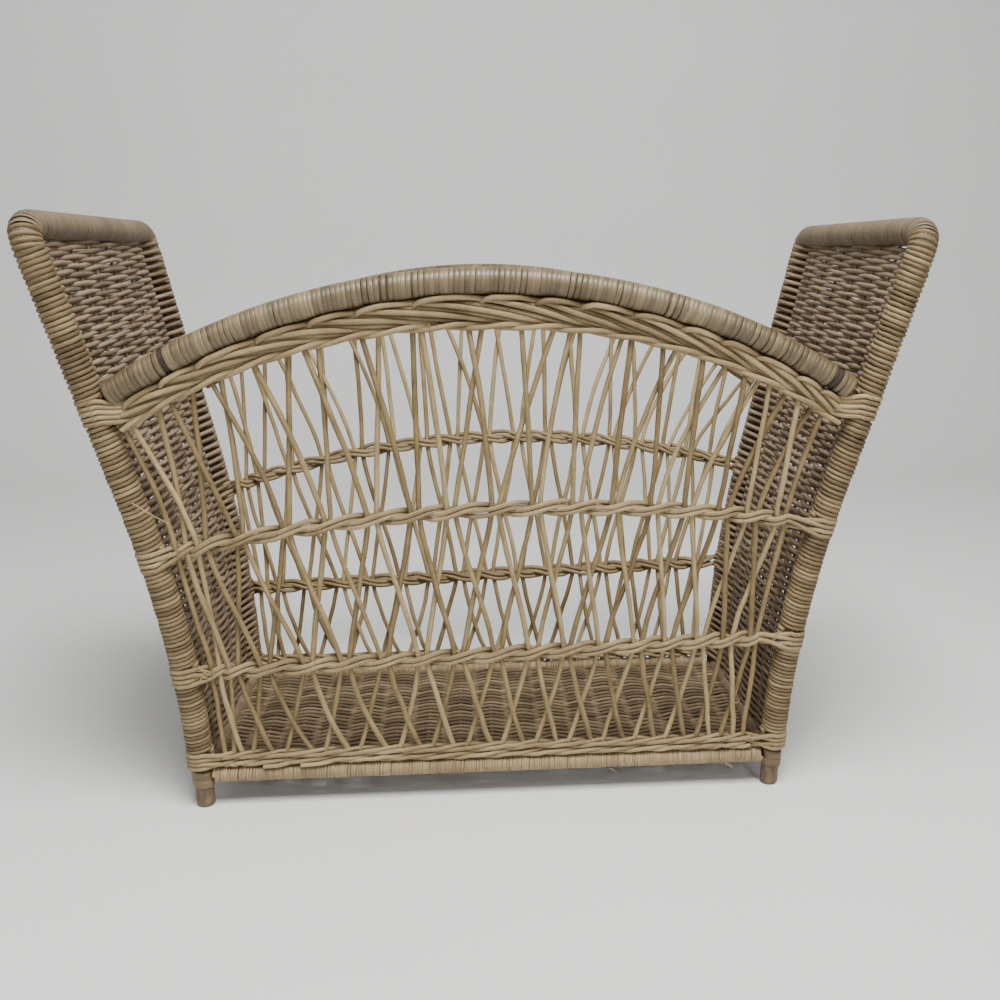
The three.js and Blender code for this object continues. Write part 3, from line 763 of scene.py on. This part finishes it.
for seed, (corner, (end, side)) in enumerate(CORNERS.items()):
    post_piece(corner, end, side)
    post_winding(corner, end, side, seed + 11)
for seed, (name, end) in enumerate(ENDS.items()):
    handle_bar(name, end, seed + 21)
for seed, (name, side) in enumerate(SIDES.items()):
    arched_rail(name, side, seed + 31)


# Crossed stakes, twined rows and wales of the long sides. The shares are of the border's half width,
# where the stakes that rise to the right, those that fall and the outer two meet it, and of the arch's,
# where the plait's loops hook over

RISING_TOP_SHARES = np.array(
    [-0.93, -0.83, -0.75, -0.56, -0.48, -0.31, -0.22, -0.02, 0.19, 0.23, 0.38, 0.54, 0.69, 0.79, 0.87, 0.95]
)
FALLING_TOP_SHARES = np.array(
    [-1.01, -0.9, -0.79, -0.67, -0.53, -0.37, -0.2, -0.07, 0.08, 0.25, 0.4, 0.49, 0.61, 0.74, 0.81, 0.9]
)
EDGE_TOP_SHARES = np.array([-1.03, 0.98])
HOOK_SHARES = np.array(
    [-0.98, -0.88, -0.79, -0.63, -0.49, -0.37, -0.22, -0.04, 0.11, 0.23, 0.37, 0.51, 0.62, 0.72, 0.84, 0.91]
)


def hand_shifts(side):
    """How far each column strays from its place, as weaving by hand leaves it."""
    return np.random.default_rng(50 + side).normal(0, 0.0007, (COLUMNS, 4))


def stake_tops(side):
    """Where the stakes that rise and fall to the right, and the two outer ones, meet the border."""
    rising, falling, edges = RISING_TOP_SHARES, FALLING_TOP_SHARES, EDGE_TOP_SHARES
    if side > 0:
        rising, falling, edges = -falling[::-1], -rising[::-1], -edges[::-1]
    return [shares * level_reach(3) for shares in (rising, falling, edges)]


def stake_place(side, index, level, offset, shifts):
    """A stake's x and height where the wale or a row binds it, offset from its column's middle."""
    x = column_x(index, level) + shifts[index, level] + offset
    return (x, row_height(side, level, x)) if level else (x, WALE_HEIGHT)


def border_place(x):
    return x, border_low(x) + 0.5 * border_band(x)


def slant_share(band, height_share, bow):
    """How far along its slant a stake is, at a share of the band's height."""
    if band == 0:
        return 1 - (1 - height_share) ** bow
    if band == 1:
        return 0.6 * height_share + 0.4 * smooth_rise(height_share, 0, 1)
    return height_share**bow


STAKE_STEP_SHARES = np.array([0.08, 0.22, 0.38, 0.54, 0.7, 0.86])
STAKE_TAIL = 0.007
STAKE_TOP_OUT = -0.0015
WALE_INSETS = (0.0024, 0.0032)
ROW_INSETS = (0.0016, 0.003)


def stake_path(side, places, outs, random):
    """Control points of one stake: bound at each level, slanting and crossing between."""
    points = [(places[0][0], WALE_HEIGHT - STAKE_TAIL, 0.0), (*places[0], 0.0)]
    for band in range(3):
        (x0, z0), (x1, z1) = places[band], places[band + 1]
        outwards = abs(x1) > abs(x0)
        bow = random.uniform(1.1, 1.45) if band == 0 or outwards else 1.1
        drift = random.normal(0, 0.0002, len(STAKE_STEP_SHARES))
        for step, share in enumerate(STAKE_STEP_SHARES):
            x = x0 + (x1 - x0) * slant_share(band, share, bow) + drift[step]
            out = outs[band] * min(1.0, 3.2 * math.sin(math.pi * share) ** 2)
            points.append((x, z0 + (z1 - z0) * share, out))
        points.append((x1, z1, STAKE_TOP_OUT if band == 2 else 0.0))
    x, height, out = np.array(points).T
    return panel_points(side, x, height, out)


def crossed_stakes(name, side, seed):
    stakes = Strands(seed)
    random = stakes.random
    shifts = hand_shifts(side)
    rising, falling, edges = stake_tops(side)
    face = (0, side, 0)

    def inset(level):
        return random.uniform(*(ROW_INSETS if level else WALE_INSETS))

    for index in range(COLUMNS - 1):
        for way, top in ((1, rising[index]), (-1, falling[index])):
            places = []
            for level in range(3):
                left = (level % 2 == 0) == (way > 0)
                offset = inset(level) if left else -inset(level)
                places.append(stake_place(side, index if left else index + 1, level, offset, shifts))
            places.append(border_place(top))
            outs = way * side * STAKE_RADIUS * np.array([1.05, -1.05, 1.05])
            path = stake_path(side, places, outs, random)
            stakes.add(path, STAKE_RADIUS * random.uniform(0.88, 1.04), face)
    for index, way, top in ((0, -1, edges[0]), (COLUMNS - 1, 1, edges[1])):
        places = [stake_place(side, index, level, way * inset(level), shifts) for level in range(3)]
        path = stake_path(side, places + [border_place(top)], np.zeros(3), random)
        stakes.add(path, STAKE_RADIUS * 0.95, face)
    nodes = [f"lattice_strip_{name}_{strip}" for strip in range(1, 10)]
    stakes.piece(f"crossed_stakes_{name}", open_reed, "round_reed", "stake", *nodes)


def post_wrap(end, side, height, rod_radius, sweep, climb):
    """A strand's turn round a post: over its front, round its far side and back inside."""
    angles = np.linspace(-28, sweep, 14)
    heights = height + climb * np.linspace(-0.5, 0.5, len(angles))
    return post_turn(end, side, heights, POST_RADIUS + rod_radius + 0.0002, angles)


def column_places(level, shifts):
    """A function from a place counted in columns to its x, which also reaches past the last ones."""
    column = column_x(np.arange(COLUMNS), level) + shifts[:, level]
    first, last = column[1] - column[0], column[-1] - column[-2]
    places = np.concatenate([[column[0] - first], column, [column[-1] + last]])
    return lambda phase: np.interp(phase, np.arange(-1, COLUMNS + 1), places)


TWINED_RADIUS = 0.00152
TWIST_RISE = 0.0023
TWIST_DEPTH = 0.0031


def twined_row(name, side, level, seed):
    """Two plies of two rods each, which change sides between the columns and turn round both posts."""
    rods = Strands(seed)
    random = rods.random
    place_at = column_places(level, hand_shifts(side))
    phases = np.arange(-0.25, COLUMNS - 0.74, 0.25)
    x = place_at(phases)
    for ply in range(2):
        angle = np.pi * (phases + ply)
        for rod in range(2):
            drift = random.normal(0, 0.00015, len(phases))
            lift = (rod - 0.5) * 2.02 * TWINED_RADIUS + TWIST_RISE * np.sin(angle) + drift
            out = TWIST_DEPTH * np.cos(angle) + random.normal(0, 0.0001)
            middle = panel_points(side, x, row_height(side, level, x) + lift, out)
            order = 2 * rod + ply - 1.5
            wraps = []
            for end in (-1, 1):
                place = end_height(side, level, end) + 2.05 * order * TWINED_RADIUS
                wraps.append(post_wrap(end, side, place, TWINED_RADIUS, 300, 0.0014))
            path = np.concatenate([wraps[0][::-1], middle, wraps[1]])
            # Painted shade: the rear rows' rods get a lower, darker tone, as the rear panel's inside lies in
            # shade
            tone = random.uniform(0.4, 0.8) - (0.4 if side > 0 else 0)
            rods.add(path, TWINED_RADIUS * random.uniform(0.95, 1.05), (0, side, 0), tone)
    row = "lower" if level == 1 else "upper"
    node = f"{row}_twined_row_{name}"
    rods.piece(f"{row}_twist_{name}", border_reed, "round_reed", "twined rod", node)


WALE_RADIUS = 0.0014
WALE_COURSES = (-0.0022, 0.0024)
WALE_WRAP_HEIGHT = 0.0283
WALE_STEPS = np.array([0, 0.5, 1, 1.5, 2, 2.5, 3])
WALE_OUTS = np.array([2.6, 3.1, 2.7, 0.2, -2.7, -0.4, 2.6]) / 1000
WALE_LIFTS = np.array([-1.2, -0.2, 0.9, 1.6, 0.4, -1.7, -1.2]) / 1000
ROD_TAILS = ((-0.1437, -0.124), (-0.1208, -0.096))
TAIL_HEIGHTS = np.array([26.2, 26.4, 26.8, 27.6, 29.0]) / 1000
TAIL_OUTS = np.array([4.2, 4.2, 4.0, 3.0, 1.0]) / 1000


def bottom_wale(name, side, seed):
    """Two courses of three rods, each before two columns and behind one."""
    rods = Strands(seed)
    random = rods.random
    place_at = column_places(0, hand_shifts(side))
    phases = np.arange(-0.5, COLUMNS - 0.49, 0.25)
    x = place_at(phases)
    for course, rise in enumerate(WALE_COURSES):
        for rod in range(3):
            turn = np.mod(phases + rod + 0.4 * course, 3)
            drift = random.normal(0, 0.0002, len(phases))
            height = WALE_HEIGHT + rise + 1.05 * np.interp(turn, WALE_STEPS, WALE_LIFTS) + drift
            path = panel_points(side, x, height, np.interp(turn, WALE_STEPS, WALE_OUTS))
            if rod < 2:
                place = WALE_WRAP_HEIGHT + (2 * course + rod) * 2.02 * WALE_RADIUS
                wraps = [post_wrap(end, side, place, WALE_RADIUS, 290, 0.001) for end in (-1, 1)]
                path = np.concatenate([wraps[0][::-1], path, wraps[1]])
            tone = random.uniform(0.4, 0.8)
            rods.add(path, WALE_RADIUS * random.uniform(0.95, 1.05), (0, side, 0), tone)
    for start, end in ROD_TAILS:
        tail = panel_points(side, np.linspace(start, end, 5) * -side, TAIL_HEIGHTS, TAIL_OUTS)
        rods.add(tail, WALE_RADIUS * 0.95, (0, side, 0), 0.9)
    rods.piece(f"wale_{name}", border_reed, "round_reed", "wale rod", f"bottom_wale_{name}")


# Plaited borders: each column's stakes come up behind the last loop, lie over the top edge and run
# down before the next columns

# The outer and inner strands: columns along the arch, shares of the band's height, and out in mm
STRAND_RUNS = (
    (
        np.array([-0.12, 0, 0.07, 0.16, 0.3, 0.5, 0.75, 0.95, 1.1, 1.3, 1.55, 2, 2.5, 3, 3.4]),
        np.array([0.5, 0.68, 0.8, 0.91, 0.98, 1, 0.99, 0.95, 0.92, 0.87, 0.79, 0.62, 0.45, 0.29, 0.18]),
        np.array([-2.8, -1.4, 1.2, 3.6, 4.6, 4.6, 3.6, 1.9, 0.9, 2.2, 3.6, 3.9, 3.3, 1.4, -1.5]),
    ),
    (
        np.array([0.5, 0.68, 0.85, 1, 1.25, 1.5, 2, 2.5, 3, 3.3]),
        np.array([0.8, 0.83, 0.81, 0.77, 0.7, 0.61, 0.45, 0.28, 0.13, 0.05]),
        np.array([-2.8, -0.9, 0.4, 0.9, 1.1, 1, 0.9, 0.5, -0.4, -1.5]),
    ),
)
LOOP_RADIUS = 0.0017
BACKING_SHARES = (0.12, 0.3, 0.48, 0.68, 0.86, 1.03)
BACKING_OUT = -0.003


def band_point(side, run, share, out):
    """A point of the border: run along the arch, share of the band's height, and out."""
    angle = run / BORDER_OUTER
    x = BORDER_OUTER * np.sin(angle)
    radius = BORDER_OUTER + 0.001 - LOOP_RADIUS - (1 - share) * (border_band(x) - LOOP_RADIUS)
    return arch_points(side, radius, angle, out)


def plaited_border(name, side, seed):
    loops = Strands(seed)
    random = loops.random
    face = (0, side, 0)
    edge = half_length(ARCH_END_HEIGHT - 0.009) - POST_WOUND_RADIUS
    limit = BORDER_OUTER * math.asin(edge / BORDER_OUTER)
    hooks = BORDER_OUTER * np.arcsin(-side * HOOK_SHARES * arch_span / BORDER_OUTER)[::-side]
    first, last = hooks[1] - hooks[0], hooks[-1] - hooks[-2]
    before = hooks[0] - first * np.array([3, 2, 1])
    after = hooks[-1] + last * np.array([1, 2, 3, 4])
    places = np.concatenate([before, hooks, after])
    for loop in range(len(places) - 4):
        for runs, shares, outs in STRAND_RUNS:
            run = np.interp(loop + runs, np.arange(len(places)), places)
            share = shares + random.normal(0, 0.008, len(run)) + random.normal(0, 0.012)
            out = outs / 1000 + random.normal(0, 0.00012, len(run))
            keep = (run > -limit) & (run < limit)
            if keep.sum() < 3:
                continue
            path = band_point(side, run[keep], share[keep].clip(0, 1.02), out[keep])
            tone = random.uniform(0.25, 0.85)
            loops.add(path, LOOP_RADIUS * random.uniform(0.92, 1.04), face, tone)
    # Two rods twined along the lower edge, and rods behind the loops that close the band, given the lowest
    # tone as painted shade in the gaps between the loops
    pitch = np.mean(np.diff(hooks))
    run = np.arange(-limit, limit, pitch / 4)
    for rod in range(2):
        angle = np.pi * (run / pitch + rod)
        path = band_point(side, run, 0.04 + 0.075 * np.sin(angle), 0.0014 + 0.0024 * np.cos(angle))
        loops.add(path, LOOP_RADIUS * 0.95, face, 0.6)
    for share in BACKING_SHARES:
        share = share + random.normal(0, 0.015, len(run))
        loops.add(band_point(side, run, share, BACKING_OUT), LOOP_RADIUS, face, 0.0)
    loops.piece(f"plait_{name}", border_reed, "round_reed", "border strand", f"plaited_border_{name}")


# Woven ends and floor

MAT_STAKE_SHARES = np.array([-0.72, -0.45, -0.16, 0.15, 0.43, 0.71])
MAT_SWING = 0.0014
MAT_STAKE_RADIUS = 0.0013
MAT_STAKE_TOP = 0.349
FLOOR_HALF_LENGTH = 0.176
FLOOR_HALF_DEPTH = 0.0758
FLOOR_ROWS = 52
FLOOR_STAKES = 17
FLOOR_SWING = 0.0019
FLOOR_STAKE_RADIUS = 0.0015

# A mat row's last points before the posts: how far inside the post's axis, and shares of the turn round it
FRONT_TAIL = np.array([0.0035, 0.012])
FRONT_TURN = np.array([0.75, 0.5])
REAR_TAIL = np.array([0.016, 0.009, 0.0045, 0.0])
REAR_TURN = np.array([0.2, 0.66, 0.93, 1.0])
REAR_CLIMB = np.array([0.0, 0.35, 0.75, 1.0])


def woven_between(stakes):
    """A row's places at its stakes and halfway between them, and which way it swings there."""
    steps = np.arange(2 * len(stakes) - 1) / 2
    return np.interp(steps, np.arange(len(stakes)), stakes), np.cos(np.pi * steps)


def end_mat(name, end, seed):
    """Close rows of reed round six stakes, which pass to one side of the posts and the other by turns."""
    reeds = Strands(seed)
    random = reeds.random
    stake_share = MAT_STAKE_SHARES + random.normal(0, 0.008, len(MAT_STAKE_SHARES))
    woven_share, swing = woven_between(stake_share)

    def mat_point(height, depth, out):
        x = end * (half_length(height) + out / LEAN_FACTOR)
        return stacked(x, depth, height - out * 0.2)

    for row, (height, pitch) in enumerate(zip(*rows_between(MAT_BOTTOM, MAT_TOP, ROW_PITCHES))):
        way = 1 if row % 2 == 0 else -1
        reach = half_depth(height)
        thickness = 1.22 * pitch * random.uniform(0.96, 1.05)
        turn = POST_RADIUS + pitch / 2
        share = np.concatenate([FRONT_TAIL / reach - 1, woven_share, 1 - REAR_TAIL / reach])
        outs = way * np.concatenate([turn * FRONT_TURN, -MAT_SWING * swing, -turn * REAR_TURN])
        heights = height + row_lift(height, share) + random.normal(0, 0.00025, len(share))
        rear = slice(-len(REAR_TAIL), None)
        heights[rear] = height + row_lift(height, share[rear]) + way * 0.25 * pitch * REAR_CLIMB
        reeds.add(mat_point(heights, share * reach, outs), thickness / 2, (end, 0, 0))
    heights = np.linspace(MAT_BOTTOM - 0.001, MAT_STAKE_TOP, 14)
    for share in stake_share:
        reeds.add(mat_point(heights, share * half_depth(heights), 0.0), MAT_STAKE_RADIUS, (end, 0, 0))
    reeds.piece(f"woven_end_{name}", woven_reed, "woven_reed", "mat reed", f"end_mat_{name}")


def floor_mat(seed):
    """One weaver laid to and fro round cross stakes."""
    reeds = Strands(seed)
    random = reeds.random
    pitch = 2 * FLOOR_HALF_DEPTH / FLOOR_ROWS
    stake_x = np.linspace(-1, 1, FLOOR_STAKES) * (FLOOR_HALF_LENGTH - 0.0035)
    x, swing = woven_between(stake_x)
    path, tones = [], []
    for row in range(FLOOR_ROWS):
        depth = -FLOOR_HALF_DEPTH + (row + 0.5) * pitch
        way = 1 if row % 2 else -1
        depths = depth + random.normal(0, 0.0003, len(x))
        points = stacked(x, depths, RAIL_HEIGHT - 0.0002 + FLOOR_SWING * way * swing)[::way]
        turn = [[way * FLOOR_HALF_LENGTH, depth + pitch / 2, RAIL_HEIGHT]]
        path += points.tolist() + turn
        tones += [random.random()] * (len(points) + 1)
    reeds.add(path, REED_RADIUS * 1.03, UP, tones)
    for x in stake_x:
        depth = np.linspace(-1, 1, 8) * (FLOOR_HALF_DEPTH + 0.002)
        reeds.add(stacked(x, depth, RAIL_HEIGHT), FLOOR_STAKE_RADIUS, UP)
    reeds.piece("woven_floor", shaded_floor_reed, "woven_reed", "floor reed", "base_mat")


# Bottom rails and lashings

LONG_RAIL_REACH = 0.1745
SHORT_RAIL_REACH = 0.0755
FOOT_LASHING_SPAN = (0.0152, 0.0264)

# The border's ends: their turns round a post, and their two tail points by how far inside the post they
# lie, their height and how far out, and how the height fans out from turn to turn
LASHING_RADIUS = 0.00155
LASHING_HEIGHT = 0.2542
LASHING_PITCH = 0.00305
LASHING_TAIL_INSETS = np.array([0.0205, 0.0125])
LASHING_TAIL_HEIGHTS = np.array([0.2545, 0.2535])
LASHING_TAIL_FANS = np.array([0.0023, 0.0027])
LASHING_TAIL_OUTS = np.array([0.0008, 0.0045])


def bottom_rails():
    """Long rails under fine peel, and short rails under the reed of the mats."""
    for seed, (name, side) in enumerate(SIDES.items()):
        x = np.linspace(-LONG_RAIL_REACH, LONG_RAIL_REACH, 300)
        path = panel_points(side, x, RAIL_HEIGHT, 0.0)
        pole_piece(f"long_rail_{name}", path[::10], LONG_RAIL_RADIUS, f"base_rail_{name}")
        peel_piece(f"rail_peel_{name}", path, LONG_RAIL_RADIUS, PEEL_WIDTHS["rail"], rail_peel,
                   f"base_rail_binding_{name}", seed + 61, UP, steps=16, spread_share=0.15)
    for seed, (name, end) in enumerate(ENDS.items()):
        y = np.linspace(-SHORT_RAIL_REACH, SHORT_RAIL_REACH, 200)
        path = stacked(end * half_length(RAIL_HEIGHT), y, RAIL_HEIGHT)
        pole_piece(f"short_rail_{name}", path[::10], SHORT_RAIL_RADIUS, f"base_rail_{name}")
        reeds = Strands(seed + 65)
        wind(reeds, path, SHORT_RAIL_RADIUS + REED_RADIUS, 2 * REED_RADIUS, UP, 16)
        reeds.piece(f"short_rail_reed_{name}", woven_reed, "woven_reed", "rail reed")


def foot_lashing(name, end, side, seed):
    path = post_axis(end, side, np.linspace(*FOOT_LASHING_SPAN, 60))
    peel_piece(f"foot_peel_{name}", path, POST_RADIUS + 0.0001, PEEL_WIDTHS["foot"], foot_peel,
               f"foot_lashing_{name}", seed, (0, -1, 0), steps=20, spread_share=0.1)


def arch_lashing(name, end, side, seed):
    """The border's last strands, which run on and turn round the post."""
    turns = Strands(seed)
    random = turns.random
    for turn in range(-2, 3):
        height = LASHING_HEIGHT + turn * LASHING_PITCH + random.normal(0, 0.00015)
        ring = post_wrap(end, side, height, LASHING_RADIUS, 300, 0.0012)
        x = end * (half_length(height) - LASHING_TAIL_INSETS)
        tail = panel_points(side, x, LASHING_TAIL_HEIGHTS + turn * LASHING_TAIL_FANS, LASHING_TAIL_OUTS)
        path = np.concatenate([tail, ring])
        turns.add(path, LASHING_RADIUS * random.uniform(0.93, 1.02), (end, 0, 0))
    turns.piece(f"plait_end_{name}", border_reed, "round_reed", "border end", f"arch_lashing_{name}")


# Fibres that have worked loose at the front: x, height, how far out, radius, run along x and rise, in mm
LOOSE_FIBRES = (
    (150, 16.8, 4, 0.35, 5, -3),
    (153.5, 16.6, 4, 0.3, 2, -4.2),
    (74, 16.2, 4, 0.3, 4.5, -2),
    (-36, 303.5, 4, 0.35, 5, -8.5),
    (-174, 90, 4, 0.8, -5.5, 5.2),
    (-173.5, 92, 4, 0.7, -6, 1),
    (-174.5, 88.5, 4, 0.75, -4.5, -3),
    (176, 101, 4, 0.6, 4, 6),
    (154, 56, 4, 0.35, 3, 7),
    (-206, 200, 8.8, 0.45, 20, -13),
    (-160, 153, 3.5, 0.4, -4, -7.5),
)


def loose_fibres():
    fibres = Strands(101)
    share = np.linspace(0, 1, 6)
    for x, height, out, radius, run, rise in np.array(LOOSE_FIBRES) / 1000:
        curl = 0.0006 * np.sin(7 * share + 100 * x)
        path = panel_points(-1, x + run * share + curl, height + rise * share - curl, out + 0.0012 * share)
        fibres.add(path, radius * (1 - 0.4 * share), (0, -1, 0), 0.85)
    fibres.piece("loose_fibres", open_reed, "round_reed", "loose fibre")


for seed, (name, side) in enumerate(SIDES.items()):
    crossed_stakes(name, side, seed + 71)
    twined_row(name, side, 1, seed + 73)
    twined_row(name, side, 2, seed + 75)
    bottom_wale(name, side, seed + 77)
    plaited_border(name, side, seed + 79)
for seed, (name, end) in enumerate(ENDS.items()):
    end_mat(name, end, seed + 81)
floor_mat(85)
loose_fibres()
bottom_rails()
for seed, (corner, (end, side)) in enumerate(CORNERS.items()):
    foot_lashing(corner, end, side, seed + 91)
    arch_lashing(corner, end, side, seed + 95)


# Camera, light and floor

camera_data = bpy.data.cameras.new("camera")
camera = placed("camera", camera_data)
bpy.context.scene.camera = camera
CAMERA_PLACE = (-0.0152, -0.7378, 0.3414)
CAMERA_YAW, CAMERA_PITCH, CAMERA_ROLL = 0.0934, 0.1797, 0.0051
PHOTO_PIXELS = 1000
FOCAL_PIXELS = 1091.6
MIDDLE_X, MIDDLE_Y = 567, 454
turned = Matrix.Rotation(-CAMERA_YAW, 4, "Z") @ Matrix.Rotation(math.pi / 2 - CAMERA_PITCH, 4, "X")
turned = turned @ Matrix.Rotation(CAMERA_ROLL, 4, "Z")
camera.matrix_world = Matrix.Translation(CAMERA_PLACE) @ turned
camera_data.sensor_width = 36
camera_data.lens = FOCAL_PIXELS * 36 / PHOTO_PIXELS
camera_data.shift_x = 0.5 - MIDDLE_X / PHOTO_PIXELS
camera_data.shift_y = MIDDLE_Y / PHOTO_PIXELS - 0.5


def soft_light(name, place, size, power):
    """A lamp that faces the basket's middle."""
    data = bpy.data.lights.new(name, "AREA")
    data.size = size
    data.energy = power
    light = placed(name, data)
    light.location = place
    towards = Vector((0, 0, 0.15)) - Vector(place)
    light.rotation_euler = towards.to_track_quat("-Z", "Y").to_euler()


soft_light("overhead", (0.1, -0.62, 1.42), 0.7, 39)
soft_light("front", (0.7, -1.7, 1.0), 0.7, 7)
soft_light("side", (-1.4, -0.5, 0.9), 0.9, 3.5)

world = bpy.data.worlds.new("studio")
bpy.context.scene.world = world
world.use_nodes = True
background = world.node_tree.nodes["Background"].inputs
background["Color"].default_value = (0.86, 0.88, 0.9, 1)
background["Strength"].default_value = 0.34


def floor_piece():
    """A pale floor that curves up behind the basket."""
    material, graph, place, _ = finish_graph("pale floor")
    cloud = mottle(graph, place, 3.0)
    colour = blended(graph, cloud, (0.69, 0.69, 0.675, 1), (0.74, 0.74, 0.725, 1))
    close_finish(graph, colour, 0.7, cloud, 0.05, 0.001)
    turn_radius = 0.35
    back = 0.9
    angles = np.linspace(0, np.pi / 2, 16)
    depth = np.concatenate([[-3.0], back + turn_radius * np.sin(angles), [back + turn_radius]])
    height = np.concatenate([[0.0], turn_radius * (1 - np.cos(angles)), [3.0]])
    reach = 4.0
    points = [(x, y, z) for y, z in zip(depth, height) for x in (-reach, reach)]
    faces = [(2 * i, 2 * i + 1, 2 * i + 3, 2 * i + 2) for i in range(len(depth) - 1)]
    mesh = bpy.data.meshes.new("floor")
    mesh.from_pydata(points, [], faces)
    mesh.shade_smooth()
    mesh.materials.append(material)
    placed("floor", mesh)


floor_piece()
